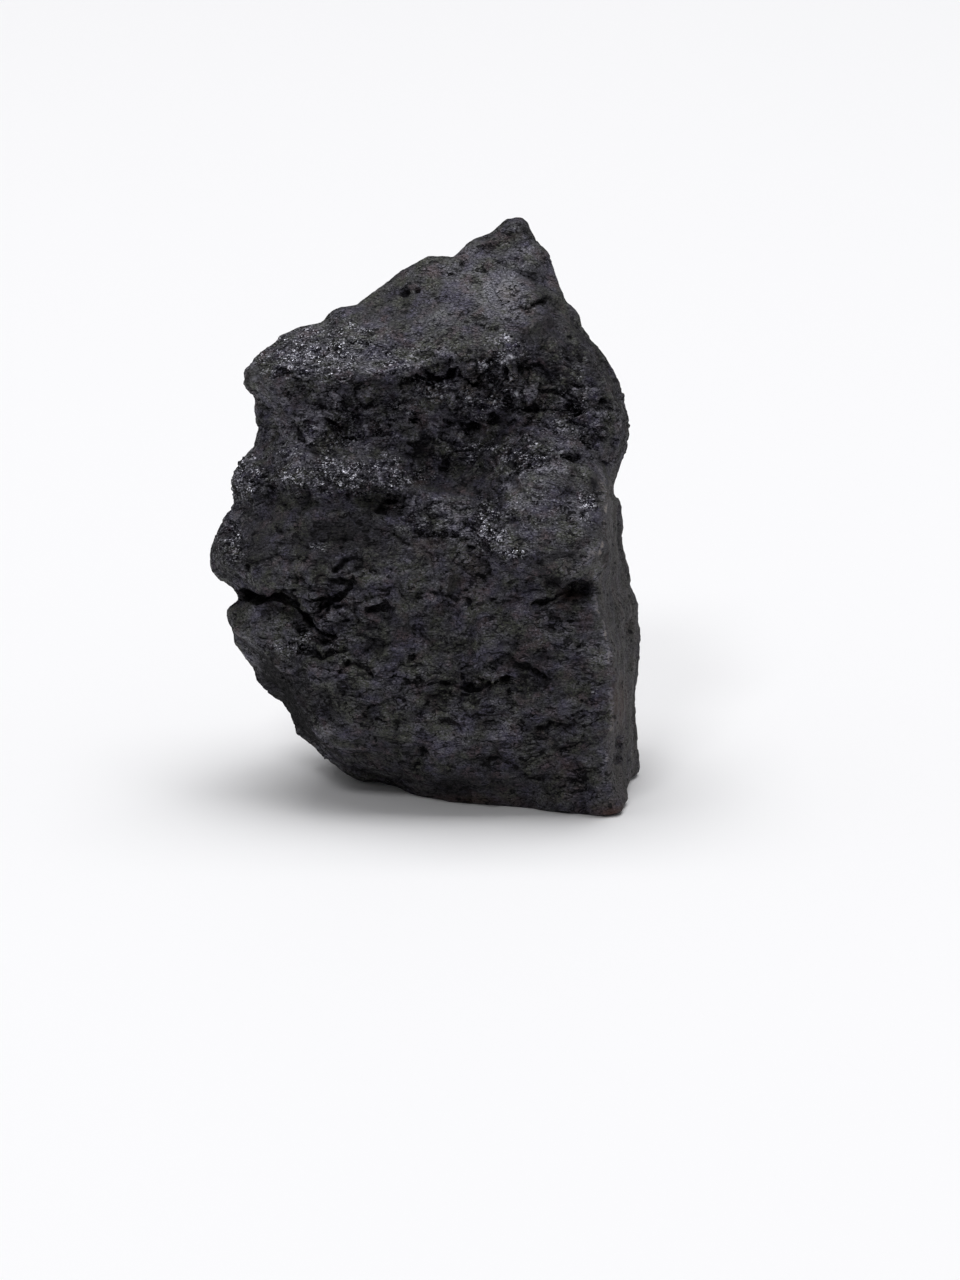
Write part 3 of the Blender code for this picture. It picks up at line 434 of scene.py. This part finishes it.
def rise_beside(line, places, reach):
    """From 1 just left of a line of points, falling off over the reach, to 0 on its right and at its ends."""
    nearest, left = np.full(len(places), np.inf), np.zeros(len(places), bool)
    length = sum(math.dist(a, b) for a, b in zip(line[:-1], line[1:]))
    walked, taper = 0.0, np.zeros(len(places))
    for start, end in zip(np.array(line[:-1]), np.array(line[1:])):
        along, away = end - start, places - start
        share = np.clip(away @ along / (along @ along), 0.0, 1.0)
        far = np.linalg.norm(away - share[:, None] * along, axis=1)
        closer = far < nearest
        nearest[closer] = far[closer]
        left[closer] = (along[0] * away[:, 1] - along[1] * away[:, 0])[closer] > 0.0
        walk = (walked + share * math.hypot(*along)) / length
        taper[closer] = np.clip(8.0 * walk * (1.0 - walk), 0.0, 1.0)[closer]
        walked += math.hypot(*along)
    return np.exp(-nearest / reach) * left * taper


def spot_reach(places, across, up, half_width, half_height):
    """How far out in an oval spot each place is, squared, with 1 at its rim."""
    return ((places[:, 0] - across) / half_width) ** 2 + ((places[:, 1] - up) / half_height) ** 2


def patches(spots, places, share_there):
    """How strongly each place lies in one of the spots (across, up, half width, half height, share)."""
    total = np.zeros(len(places))
    for *spot, share in spots:
        total = np.maximum(total, share * np.exp(-spot_reach(places, *spot)))
    return total * share_there


def wandering(drawn):
    """(across, up) places pushed about, so that what is drawn there has a ragged edge."""
    flat = drawn[:, :2]
    for size, reach, starts in WANDERS:
        flat = flat + np.stack([swells(drawn / size, start) for start in starts], axis=1) * reach
    return flat


def facing_share(leaning):
    """From 1 where the surface faces the front to 0 where it faces away."""
    return np.clip((leaning[:, 2] + 0.1) / 0.3, 0.0, 1.0)


def flank_share(drawn, leaning):
    """From 1 on the worn right flank to 0 elsewhere. Above the shoulder, 37 mm up, most of it is broken."""
    up = drawn[:, 1] + swells(drawn / 5.0, 71) * 3.0
    worn = 1.0 - 0.8 * np.clip((up - 37.0) / 4.5, 0.0, 1.0)
    return np.clip((leaning[:, 0] - 0.45) / 0.3, 0.0, 1.0) * worn


def even_share(drawn, leaning):
    """From 1 on the even roof and the shoulder's plate to 0 on the rough break."""
    roof = np.clip((leaning[:, 1] - 0.35) / 0.4, 0.0, 1.0)
    rough = np.clip(patches(CRUMBLY, drawn, 1.0), 0.0, 1.0)
    edge = np.zeros(len(drawn))
    for line, half_width, _ in RIDGES:
        edge = np.maximum(edge, near_line(line, drawn[:, :2], 3.0 * half_width))
    return np.maximum(np.clip(roof + patches(EVEN, drawn, 1.0), 0.0, 1.0) * (1.0 - rough), 1.4 * edge)


# ---- the stone's surface -----------------------------------------------------------------------


def plates(drawn, size, tilt, step, start, flatness=1.0):
    """Height of a surface of flat plates, each with its own tilt and height, and how far off a border is."""
    warp = np.stack([swells(drawn / (0.8 * size), start + i) for i in (21, 22, 23)], axis=1)
    spots = (drawn + warp * PLATE_WARP * size) / (size * np.array([1.0, flatness, 1.0]))
    offset, owner, border = nearest_cells(spots, start)
    height = np.sum(offset * cell_vectors(owner, start + 11), axis=1) * tilt * size
    height += (cell_numbers(owner, start + 17) * 2.0 - 1.0) * step
    return height, border


def flakes(drawn, spacing, length, step, start):
    """Thin level flakes that overlap like shingles; each one's lower edge stands out."""
    across, up, out = drawn.T
    wander = swells(np.stack([across / length, up / (2.5 * spacing), out / length], axis=1), start)
    layer = up / spacing + 1.4 * wander
    level = np.floor(layer)
    strength = swells(np.stack([across / length * 1.6, level * 7.3, out / length * 1.6], axis=1), start + 5)
    return (0.5 - (layer - level)) * step * np.clip(0.5 + 2.4 * strength, 0.0, 2.0)


def knob(from_middle, number):
    """How far out on an angular knob each place is, as a share of its size, and how its top slopes there."""
    reach = np.full(len(from_middle), -1.0)
    for side in range(KNOB_SIDES):
        angle = 2.4 * number + (side + 0.3 * math.sin(5.1 * number + 2.7 * side)) * 2.0 * math.pi / KNOB_SIDES
        length = 0.95 + 0.25 * math.sin(3.3 * number + 4.1 * side)
        reach = np.maximum(reach, from_middle @ (math.cos(angle), math.sin(angle)) / length)
    slope = 1.7 * number
    return reach, np.clip(from_middle @ (math.cos(slope), math.sin(slope)), -1.5, 1.5)


def drawn_relief(drawn, leaning):
    """Cracks, pits, knobs and ledges, whose edges wander."""
    flat = wandering(drawn)
    relief = np.zeros(len(drawn))
    for line, half_width, rise in FILLS:
        relief += rise * near_line(line, drawn[:, :2], half_width)
    for line, half_width, rise in RIDGES:
        relief += rise * near_line(line, flat, half_width)
    for line, rise, reach in STEPS:
        relief += rise * rise_beside(line, flat, reach)
    for number, (across, up, radius, rise) in enumerate(KNOBS):
        reach, tilt = knob((flat - (across, up)) / radius, number)
        top = np.clip((1.3 - reach) / 0.45, 0.0, 1.0)
        relief += rise * (top * (1.0 + KNOB_TILT * tilt) - MOAT * np.exp(-((reach - 1.35) / 0.2) ** 2))
    for line, half_width, depth in CRACKS:
        relief -= depth * near_line(line, flat, half_width)
    for *spot, depth in PITS:
        relief -= depth * np.exp(-spot_reach(flat, *spot) ** 2)
    relief *= facing_share(leaning)
    turned = np.hypot(leaning[:, 0], leaning[:, 1])
    for *spot, rise in EDGE_SWELLS:
        relief += rise * np.exp(-spot_reach(drawn, *spot)) * turned
    return relief


def broken_relief(drawn, leaning):
    """The broken surface: plates, overlapping flakes and crushed grain."""
    upright = 1.0 - np.abs(leaning[:, 1])
    relief = sum(flakes(drawn, *kind) * upright for kind in FLAKES)
    for size, *kind in PLATES:
        height, border = plates(drawn, size, *kind)
        relief += height - np.exp(-(border / CREVICE_WIDTH) ** 2) * CREVICE * size
    relief *= 1.0 + CRUMBLY_GAIN * patches(CRUMBLY, drawn, 1.0)
    relief *= 1.0 - EVEN_CALM * even_share(drawn, leaning)
    relief *= EDGE_SHARE + (1.0 - EDGE_SHARE) * np.abs(leaning[:, 2])
    flank = flank_share(drawn, leaning)
    relief *= 1.0 - FLANK_CALM * flank
    size, rise, start = FLUTES
    relief += flank * swells(drawn / size, start) * rise
    relief += sum(swells(drawn / size, start) * rise for size, rise, start in GRAINS)
    for across, up, half_width, half_height, angle, spacing, rise in RIBS:
        over = (drawn[:, :2] - (across, up)) @ (-math.sin(angle), math.cos(angle))
        over += swells(drawn / 1.2, 27) * 0.4
        wave = np.abs((over / spacing) % 2.0 - 1.0) - 0.5
        relief += wave * rise * np.exp(-spot_reach(drawn, across, up, half_width, half_height))
    glitter = np.clip(patches(GLITTER_AND_PAINTED_GLINTS, drawn, facing_share(leaning)), 0.0, 1.2)
    return relief + plates(drawn, *CRYSTAL_PLATES)[0] * CRYSTAL_RISE * glitter


def mesh_arrays(mesh):
    """The mesh's points and normals, and the same as (across, up, out)."""
    places, normals = np.empty(len(mesh.vertices) * 3), np.empty(len(mesh.vertices) * 3)
    mesh.vertices.foreach_get("co", places)
    mesh.vertex_normals.foreach_get("vector", normals)
    places, normals = places.reshape(-1, 3), normals.reshape(-1, 3)
    return places, normals, to_drawing(places / MM + DRAWING_ORIGIN), to_drawing(normals)


def keep_on_points(mesh, name, values):
    mesh.attributes.new(name, "FLOAT", "POINT").data.foreach_set("value", values.astype(np.float32))


def move_out(mesh, places, normals, relief):
    """Moves each point along its normal by the relief in mm, but leaves the flat foot on the floor."""
    off_floor = np.clip(places[:, 2] / FOOT_FADE - 0.1, 0.0, 1.0)
    moved = places + normals * (relief * off_floor)[:, None] * MM
    moved[:, 2] = np.maximum(moved[:, 2], 0.0)
    mesh.vertices.foreach_set("co", moved.ravel())
    mesh.update()


def evaluated_copy(mesh, modifiers):
    """The mesh after a list of (type, settings) modifiers, as a new mesh."""
    holder = bpy.data.objects.new("holder", mesh)
    bpy.context.scene.collection.objects.link(holder)
    for kind, settings in modifiers:
        modifier = holder.modifiers.new(kind.title(), kind)
        for setting, value in settings.items():
            setattr(modifier, setting, value)
    graph = bpy.context.evaluated_depsgraph_get()
    made = bpy.data.meshes.new_from_object(holder.evaluated_get(graph))
    bpy.data.objects.remove(holder)
    return made


def surface_mesh(settings):
    """The stone's finished surface, cut from a copy of its solid."""
    mesh = evaluated_copy(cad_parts[STONE_NODE].data.copy(), [
        ("REMESH", {"mode": "VOXEL", "voxel_size": settings.mesh_spacing}),
        ("SMOOTH", {"factor": 0.5, "iterations": 9}),
    ])
    sunk = np.zeros(len(mesh.vertices))
    for relief_of in (drawn_relief, broken_relief):
        places, normals, drawn, leaning = mesh_arrays(mesh)
        relief = relief_of(drawn, leaning) * settings.roughness
        move_out(mesh, places, normals, relief)
        sunk -= relief
    keep_on_points(mesh, "sunk", sunk)
    share = settings.triangles / (2 * len(mesh.polygons))
    return evaluated_copy(mesh, [("DECIMATE", {"ratio": share, "use_collapse_triangulate": True})])


def paint_masks(mesh):
    """Keeps on each point, for the material, how much it glitters, shines, is rusted and so on, painted light
    included.
    """
    _, _, drawn, leaning = mesh_arrays(mesh)
    facing = facing_share(leaning)
    behind = 1.0 - facing
    flat = wandering(drawn)
    flat_3d = np.column_stack([flat, drawn[:, 2]])
    # the painted highlights and painted shade of the bands, and the clouds of tone and painted light
    band = np.zeros(len(drawn))
    for line, half_width, share in PAINTED_LIGHT_BANDS:
        band += share * near_line(line, flat, half_width)
    for *spot, share in TONE_AND_PAINTED_LIGHT_CLOUDS:
        band += share * np.exp(-spot_reach(flat, *spot))
    # painted glints at single crystal faces
    size, reach, start = PAINTED_GLINT_WANDER
    ragged = drawn + swells(drawn / size, start)[:, None] * reach
    painted_glints = patches([(*spot, PAINTED_GLINT_SHARE) for spot in PAINTED_GLINTS], ragged, facing)
    glitter_behind = np.clip(swells(drawn / 9.0, 71) * 2.2 - 0.5, 0.0, 1.0) * behind
    rust_behind = np.clip(swells(drawn / 7.0, 83) * 2.0 - 0.9, 0.0, 0.5) * behind
    masks = {
        "band": band * facing,
        "flank": flank_share(drawn, leaning),
        "even": even_share(drawn, leaning),
        "crumbly": patches(CRUMBLY, flat_3d, facing) + 0.4 * behind,
        "glitter": np.maximum(np.clip(patches(GLITTER_AND_PAINTED_GLINTS, drawn, facing) + glitter_behind, 0.0, 2.0), painted_glints),
        "sheen": patches(GLOSS_AND_PAINTED_SHEEN, drawn, facing),
        "shade": np.minimum(patches(SHADE, drawn, facing), 1.0),
        "rust": patches(RUST, drawn, facing) + rust_behind,
    }
    for name, values in masks.items():
        keep_on_points(mesh, name, values)


# ---- the stone's material ----------------------------------------------------------------------


def add_node(tree, kind, inputs=None, out=0, **settings):
    """Adds a node, sets its settings, links or fills its inputs and returns one of its output sockets."""
    made = tree.nodes.new(kind)
    for name, value in settings.items():
        setattr(made, name, value)
    for name, value in (inputs or {}).items():
        if isinstance(value, bpy.types.NodeSocket):
            tree.links.new(value, made.inputs[name])
        else:
            made.inputs[name].default_value = value
    return made.outputs[out] if len(made.outputs) else None


def empty_material(name):
    material = bpy.data.materials.new(name)
    material.use_nodes = True
    material.node_tree.nodes.clear()
    return material, material.node_tree


def calc(tree, operation, *values, clamp=False):
    """Arithmetic on sockets and numbers."""
    return add_node(tree, "ShaderNodeMath", dict(enumerate(values)), operation=operation, use_clamp=clamp)


def plus_share(tree, total, share, value, clamp=False):
    """The total and a share of the value together."""
    return calc(tree, "MULTIPLY_ADD", value, share, total, clamp=clamp)


def between(tree, value, low=0.0, high=1.0, to_low=0.0, to_high=1.0):
    """The value stretched so that low becomes to_low and high becomes to_high, and kept between the two."""
    return add_node(tree, "ShaderNodeMapRange", {
        "Value": value, "From Min": low, "From Max": high, "To Min": to_low, "To Max": to_high})


def vector(tree, operation, inputs):
    """Arithmetic on vectors."""
    return add_node(tree, "ShaderNodeVectorMath", inputs, operation=operation)


def blend(tree, share, first, second):
    """The first colour where the share is 0, the second where it is 1."""
    return add_node(tree, "ShaderNodeMix", {0: share, 6: first, 7: second}, out=2, data_type="RGBA")


def noise(tree, places, size, detail, out=0, **inputs):
    """Cloudy noise whose clouds are about the size in mm."""
    return add_node(tree, "ShaderNodeTexNoise", {
        "Vector": places, "Scale": 1 / size, "Detail": detail, **inputs}, out=out)


def grains(tree, places, size, out=0, **settings):
    """Cells like packed grains, with centres about the size apart in mm."""
    return add_node(tree, "ShaderNodeTexVoronoi", {"Vector": places, "Scale": 1 / size}, out=out, **settings)


def part(tree, colour, number):
    """One of the three steady numbers that a cell's colour holds."""
    return add_node(tree, "ShaderNodeSeparateColor", {"Color": colour}, out=number)


def stretched_places(tree):
    """Places in mm, turned so that the third part runs up the leaning face, and stretched copies of them."""
    place = add_node(tree, "ShaderNodeTexCoord", out="Object")
    mm = add_node(tree, "ShaderNodeMapping", {
        "Vector": place, "Scale": (1 / MM,) * 3, "Rotation": (FACE_LEAN, 0.0, 0.0)})
    # splinters are longer than tall, the flank's streaks taller than long, and grains a little flat
    level, steep, flat = (
        add_node(tree, "ShaderNodeMapping", {"Vector": mm, "Scale": scale})
        for scale in ((0.45, 0.45, 1.0), (1.0, 1.0, 0.2), (0.7, 0.7, 1.0)))
    stir = noise(tree, level, 0.6, 2.0, out="Color")
    stirred = vector(tree, "MULTIPLY_ADD", {0: stir, 1: (0.5, 0.5, 0.5), 2: level})
    return SimpleNamespace(mm=mm, level=level, steep=steep, flat=flat, stirred=stirred)


def fine_relief(tree, at, mask):
    """Height of the relief that is too fine for the mesh, and how much painted shade each place gets."""
    # crushed grain 0.2 mm across and level splinters 0.8 mm long, whose gaps get painted shade
    splinter = grains(tree, at.stirred, 0.34, feature="DISTANCE_TO_EDGE")
    height = plus_share(tree, noise(tree, at.level, 0.2, 3.0), 0.25, between(tree, splinter, high=0.1))

    # thin cracks that wander, broken into strokes
    bend = noise(tree, at.level, 1.1, 3.0, Distortion=0.7)
    off_line = calc(tree, "ABSOLUTE", calc(tree, "SUBTRACT", bend, 0.5))
    crowding = noise(tree, at.mm, 3.4, 3.0)
    strokes = plus_share(tree, noise(tree, at.level, 0.9, 1.0), 0.8, crowding)
    strokes = plus_share(tree, strokes, -0.12, mask.even)
    strokes = plus_share(tree, strokes, -0.08, mask.flank)
    cracks = calc(tree, "MULTIPLY", between(tree, off_line, 0.035, 0.008), between(tree, strokes, 0.86, 0.94))

    # small pits, in the cells whose steady number is high
    chance = plus_share(tree, part(tree, grains(tree, at.stirred, 0.8, out="Color"), 0), 1.2, crowding)
    pit_size = between(tree, chance, 1.15, 1.6, to_high=0.34)
    pits = between(tree, calc(tree, "SUBTRACT", pit_size, grains(tree, at.stirred, 0.8)), high=0.1)
    height = plus_share(tree, height, -0.6, calc(tree, "MAXIMUM", cracks, pits))

    # painted shade where the relief has sunk the surface and where the fine relief lies low
    shelter = between(tree, mask.sunk, 0.1, 0.6, to_high=0.8)
    painted_shade = plus_share(tree, shelter, 0.8, between(tree, height, 0.62, 0.41), clamp=True)

    # shallow flutes that run down the worn flank
    flutes = calc(tree, "SUBTRACT", noise(tree, at.steep, 0.8, 4.0), 0.5)
    flutes = calc(tree, "MULTIPLY", flutes, mask.flank)
    return plus_share(tree, height, 2.0, flutes), painted_shade


def stone_colour(tree, at, mask, chance, settings):
    """The dull colours of the stone with painted light and shade, before painted hollow shade and glints."""
    # clouds about 6 mm across, flecks of 1 mm and a tone for each grain and chip
    clouds = noise(tree, at.mm, 6.0, 3.0)
    tone = calc(tree, "ADD", noise(tree, at.level, 1.1, 5.0, Roughness=0.6), clouds)
    tone = plus_share(tree, tone, 0.6, chance.tone)
    tone = plus_share(tree, tone, 0.15, chance.chip_tone)
    # crumbs 1.4 mm across, mixed pale and dark
    crumbs = between(tree, noise(tree, at.flat, 1.4, 2.0), 0.38, 0.62, -0.7, 0.65)
    uneven = calc(tree, "ADD", crumbs, between(tree, chance.uneven, to_low=-0.5, to_high=0.5))
    tone = plus_share(tree, tone, uneven, mask.crumbly)
    # the painted light and shade of the bands and clouds, and the stone's own paler and darker clouds
    tone = plus_share(tree, tone, 0.3, mask.band)
    tone = plus_share(tree, tone, 0.2, mask.glitter)
    colour = list(settings.grey)
    for share, other in (
            (between(tree, noise(tree, at.mm, 2.6, 3.0), 0.36, 0.62), settings.olive),
            (between(tree, noise(tree, at.mm, 1.9, 2.0), 0.52, 0.72), settings.rose),
            (between(tree, tone, 1.4, 1.0), settings.dark),
            (between(tree, tone, 1.47, 2.0), settings.dust)):
        colour = blend(tree, share, colour, list(other))

    # the worn flank is streaked up and down with brown and pale grey
    streak = plus_share(tree, noise(tree, at.steep, 2.2, 5.0, Roughness=0.6), 0.15, chance.tone)
    streak = plus_share(tree, streak, 0.6, noise(tree, at.mm, 2.0, 4.0, Distortion=0.5))
    worn = blend(tree, between(tree, streak, 0.72, 1.04), linear("1A1716"), linear("4B4646"))
    colour = blend(tree, calc(tree, "MULTIPLY", mask.flank, 0.7), colour, worn)

    # painted highlights on the edge ridges, the shoulder's corner and the knobs under the brow, the
    # painted sheen, and rust
    colour = blend(tree, between(tree, mask.band, 1.2, 1.9), colour, linear("857E7B"))
    colour = blend(tree, calc(tree, "MULTIPLY", mask.sheen, 0.35), colour, linear("7C7C86"))
    return blend(tree, mask.rust, colour, list(settings.rust))


def turned_away(tree, mask):
    """From 0 to 1 where the surface turns away from the eye, apart from the flank; it darkens the outline as
    painted shade.
    """
    facing = add_node(tree, "ShaderNodeLayerWeight", {"Blend": 0.5}, out="Facing")
    return calc(tree, "MULTIPLY", between(tree, facing, 0.55, 0.9), calc(tree, "SUBTRACT", 1.0, mask.flank))


def broken_hematite(settings):
    """Massive hematite, broken by hand and not cleaned.

    Its crushed grain gives a dull dark grey with a faint metal gleam. Where the break is coarse, crystal
    faces are painted pale as painted glints, and the grains, cracks and pits between them get black painted
    shade.
    """
    material, tree = empty_material("massive_hematite_broken")
    at = stretched_places(tree)
    mask = SimpleNamespace(**{
        name: add_node(tree, "ShaderNodeAttribute", out="Fac", attribute_name=name)
        for name in ("glitter", "sheen", "shade", "rust", "band", "flank", "even", "crumbly", "sunk")})
    height, painted_shade = fine_relief(tree, at, mask)

    # steady numbers for each grain, drawn as coarse as 0.14 mm so that they show, and for each chip
    grain = grains(tree, at.flat, 0.14, out="Color")
    chip = grains(tree, at.stirred, 0.5, out="Color")
    chance = SimpleNamespace(
        facet=part(tree, grain, 0), tone=part(tree, grain, 1), uneven=part(tree, grain, 2),
        chip_tone=part(tree, chip, 0), chip_glitter=part(tree, chip, 1))

    # painted shade: cracks, pits, sunken places, the dark bands and what turns away from the eye are
    # almost black
    colour = stone_colour(tree, at, mask, chance, settings)
    away = turned_away(tree, mask)
    painted_shade = plus_share(tree, painted_shade, 0.65, away)
    painted_shade = plus_share(tree, painted_shade, 0.8, between(tree, mask.band, -0.7, -1.5), clamp=True)
    colour = blend(tree, painted_shade, colour, linear("100F12"))

    # painted glints in the glittering places: grains painted pale among grains painted black as painted shade
    solid = between(tree, mask.glitter, *SOLID_PAINTED_GLINT)
    clusters = between(tree, noise(tree, at.level, 0.7, 3.0), 0.36, 0.64, 0.1, 1.7)
    uneven = between(tree, chance.chip_glitter, to_low=0.3, to_high=1.7)
    shine = calc(tree, "MULTIPLY", calc(tree, "MULTIPLY", mask.glitter, clusters), uneven, clamp=True)
    lit = calc(tree, "MAXIMUM", between(tree, chance.facet, 0.76, 0.94), solid)
    bright = calc(tree, "MULTIPLY", shine, lit)
    crushed = plus_share(tree, shine, 0.8, mask.crumbly, clamp=True)
    black = plus_share(tree, crushed, -0.4, shine)
    black = calc(tree, "MULTIPLY", black, between(tree, chance.facet, 0.32, 0.12))
    colour = blend(tree, black, colour, linear("131216"))
    colour = blend(tree, bright, colour, linear("DADAE4"))

    metal = between(tree, crushed, to_low=0.4, to_high=0.95)
    metal = plus_share(tree, metal, -0.6, mask.flank, clamp=True)
    # under the brow the painted glints are made matt, so that their pale painted colour shows in the shade
    metal = plus_share(tree, metal, -0.85, calc(tree, "MULTIPLY", solid, mask.shade), clamp=True)
    # where the painted shade lies, cracks and pits also give back almost no light
    metal = plus_share(tree, metal, 0.4, painted_shade, clamp=True)
    dull = between(tree, shine, to_low=0.44, to_high=0.26)
    for share, value in ((0.35, mask.flank), (-0.14, mask.sheen), (0.4, away), (0.2, painted_shade)):
        dull = plus_share(tree, dull, share, value)

    # each grain leans its own way, and the bright faces are the ones that face up
    lean = vector(tree, "SUBTRACT", {0: grain, 1: (0.5, 0.5, 0.5)})
    amount = calc(tree, "MULTIPLY_ADD", crushed, 0.9, 0.36)
    lean = vector(tree, "SCALE", {0: lean, "Scale": amount})
    lean = vector(tree, "ADD", {0: lean, 1: vector(tree, "SCALE", {0: (0.0, 0.0, 0.6), "Scale": bright})})
    square = add_node(tree, "ShaderNodeNewGeometry", out="Normal")
    leaning = vector(tree, "NORMALIZE", {0: vector(tree, "ADD", {0: square, 1: lean})})
    bump = add_node(tree, "ShaderNodeBump", {
        "Height": height, "Strength": 1.0, "Distance": 0.32 * MM, "Normal": leaning})

    surface = add_node(tree, "ShaderNodeBsdfPrincipled", {
        "Base Color": colour, "Metallic": metal, "Roughness": dull, "Normal": bump,
        "Specular IOR Level": 0.5})
    add_node(tree, "ShaderNodeOutputMaterial", {"Surface": surface})
    return material


class HEMATITE_OT_surface(bpy.types.Operator):
    """Build the broken surface of the stone over its solid"""
    bl_idname = "hematite.surface"
    bl_label = "Build the stone's surface"

    def execute(self, context):
        settings = context.scene.hematite_stone
        mesh = surface_mesh(settings)
        mesh.name = "hematite_surface"
        paint_masks(mesh)
        mesh.materials.clear()
        mesh.materials.append(broken_hematite(settings))
        mesh.shade_smooth()
        stone = bpy.data.objects.new("hematite_surface", mesh)
        context.scene.collection.objects.link(stone)
        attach(stone, "root")
        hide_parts(STONE_NODE)
        return {"FINISHED"}


# ---- the stage ---------------------------------------------------------------------------------

# Panels of the light tent: (name, place, size, power in watts).
TENT = [
    ("tent_top", (0.0, 0.40, 2.00), (2.00, 1.75), 40.0),
    ("tent_left", (-2.00, 0.50, 1.00), (2.00, 2.00), 1.2),
    ("tent_right", (2.00, 0.50, 1.00), (2.00, 2.00), 1.0),
    ("tent_front", (-0.50, -1.50, 1.60), (0.40, 0.40), 9.0),
]
TENT_AIM = (0.0, 0.02, 0.03)
TENT_GLOW = 0.21  # strength of the tent's even glow
VIEW_HEIGHT = 151.808 * MM  # what the picture's long side takes in at the stone
VIEW_MIDDLE = (6.44 * MM, 19.9 * MM)  # where the picture's middle lies on the broad face, as (across, up)


def floor_paper(settings):
    """Matt white background paper, which gives an even pale floor with soft shadows."""
    material, tree = empty_material("matt_white_paper")
    surface = add_node(tree, "ShaderNodeBsdfPrincipled", {
        "Base Color": list(settings.floor), "Roughness": 0.6, "Specular IOR Level": 0.3})
    add_node(tree, "ShaderNodeOutputMaterial", {"Surface": surface})
    return material


def build_floor(context, settings):
    side = settings.floor_side / 2
    mesh = bpy.data.meshes.new("stage_floor")
    corners = [(-side, -side), (side, -side), (side, side), (-side, side)]
    mesh.from_pydata([(x, y, -FLOOR_CLEARANCE) for x, y in corners], [], [range(4)])
    mesh.materials.append(floor_paper(settings))
    floor = bpy.data.objects.new("stage_floor", mesh)
    context.scene.collection.objects.link(floor)


def build_light(context, settings):
    for name, place, size, power in TENT:
        lamp = bpy.data.lights.new(name, "AREA")
        lamp.shape = "RECTANGLE"
        lamp.size, lamp.size_y = size
        lamp.energy = power * settings.light
        holder = bpy.data.objects.new(name, lamp)
        context.scene.collection.objects.link(holder)
        holder.location = place
        holder.rotation_euler = (Vector(TENT_AIM) - Vector(place)).to_track_quat("-Z", "Y").to_euler()
    world = bpy.data.worlds.new("tent_world")
    world.use_nodes = True
    glow = world.node_tree.nodes["Background"].inputs
    glow["Color"].default_value = linear("FFFFFF")
    glow["Strength"].default_value = TENT_GLOW * settings.light
    context.scene.world = world
    context.scene.view_settings.view_transform = "Standard"


def build_camera(context, settings):
    lens = bpy.data.cameras.new("specimen_camera")
    lens.sensor_width = 36.0
    lens.lens = lens.sensor_width * settings.camera_distance / VIEW_HEIGHT
    lens.clip_start = 0.01
    camera = bpy.data.objects.new("specimen_camera", lens)
    context.scene.collection.objects.link(camera)
    lean = settings.camera_height
    back = Vector((0.0, -math.cos(lean), math.sin(lean)))
    across, up = VIEW_MIDDLE
    aim = Vector((across, up * math.sin(lean) - DRAWING_ORIGIN[1] * MM, up * math.cos(lean)))
    camera.location = aim + back * settings.camera_distance
    camera.rotation_euler = (-back).to_track_quat("-Z", "Y").to_euler()
    context.scene.camera = camera


class HEMATITE_OT_stage(bpy.types.Operator):
    """Build the pale floor, the soft light and the camera"""
    bl_idname = "hematite.stage"
    bl_label = "Build the stage"

    def execute(self, context):
        settings = context.scene.hematite_stage
        build_floor(context, settings)
        build_light(context, settings)
        build_camera(context, settings)
        return {"FINISHED"}


class HEMATITE_PT_panel(bpy.types.Panel):
    bl_idname = "HEMATITE_PT_panel"
    bl_label = "Hematite specimen"
    bl_space_type = "VIEW_3D"
    bl_region_type = "UI"
    bl_category = "Hematite"

    def draw(self, context):
        for settings, operator in ((context.scene.hematite_stone, HEMATITE_OT_surface),
                                   (context.scene.hematite_stage, HEMATITE_OT_stage)):
            for name in settings.__annotations__:
                self.layout.prop(settings, name)
            self.layout.operator(operator.bl_idname)


CLASSES = [StoneSettings, StageSettings, HEMATITE_OT_surface, HEMATITE_OT_stage, HEMATITE_PT_panel]


def register():
    for cls in CLASSES:
        bpy.utils.register_class(cls)
    bpy.types.Scene.hematite_stone = bpy.props.PointerProperty(type=StoneSettings)
    bpy.types.Scene.hematite_stage = bpy.props.PointerProperty(type=StageSettings)


def unregister():
    del bpy.types.Scene.hematite_stage
    del bpy.types.Scene.hematite_stone
    for cls in reversed(CLASSES):
        bpy.utils.unregister_class(cls)


def main():
    register()
    bpy.ops.hematite.stage()
    bpy.ops.hematite.surface()


if __name__ == "__main__":
    main()
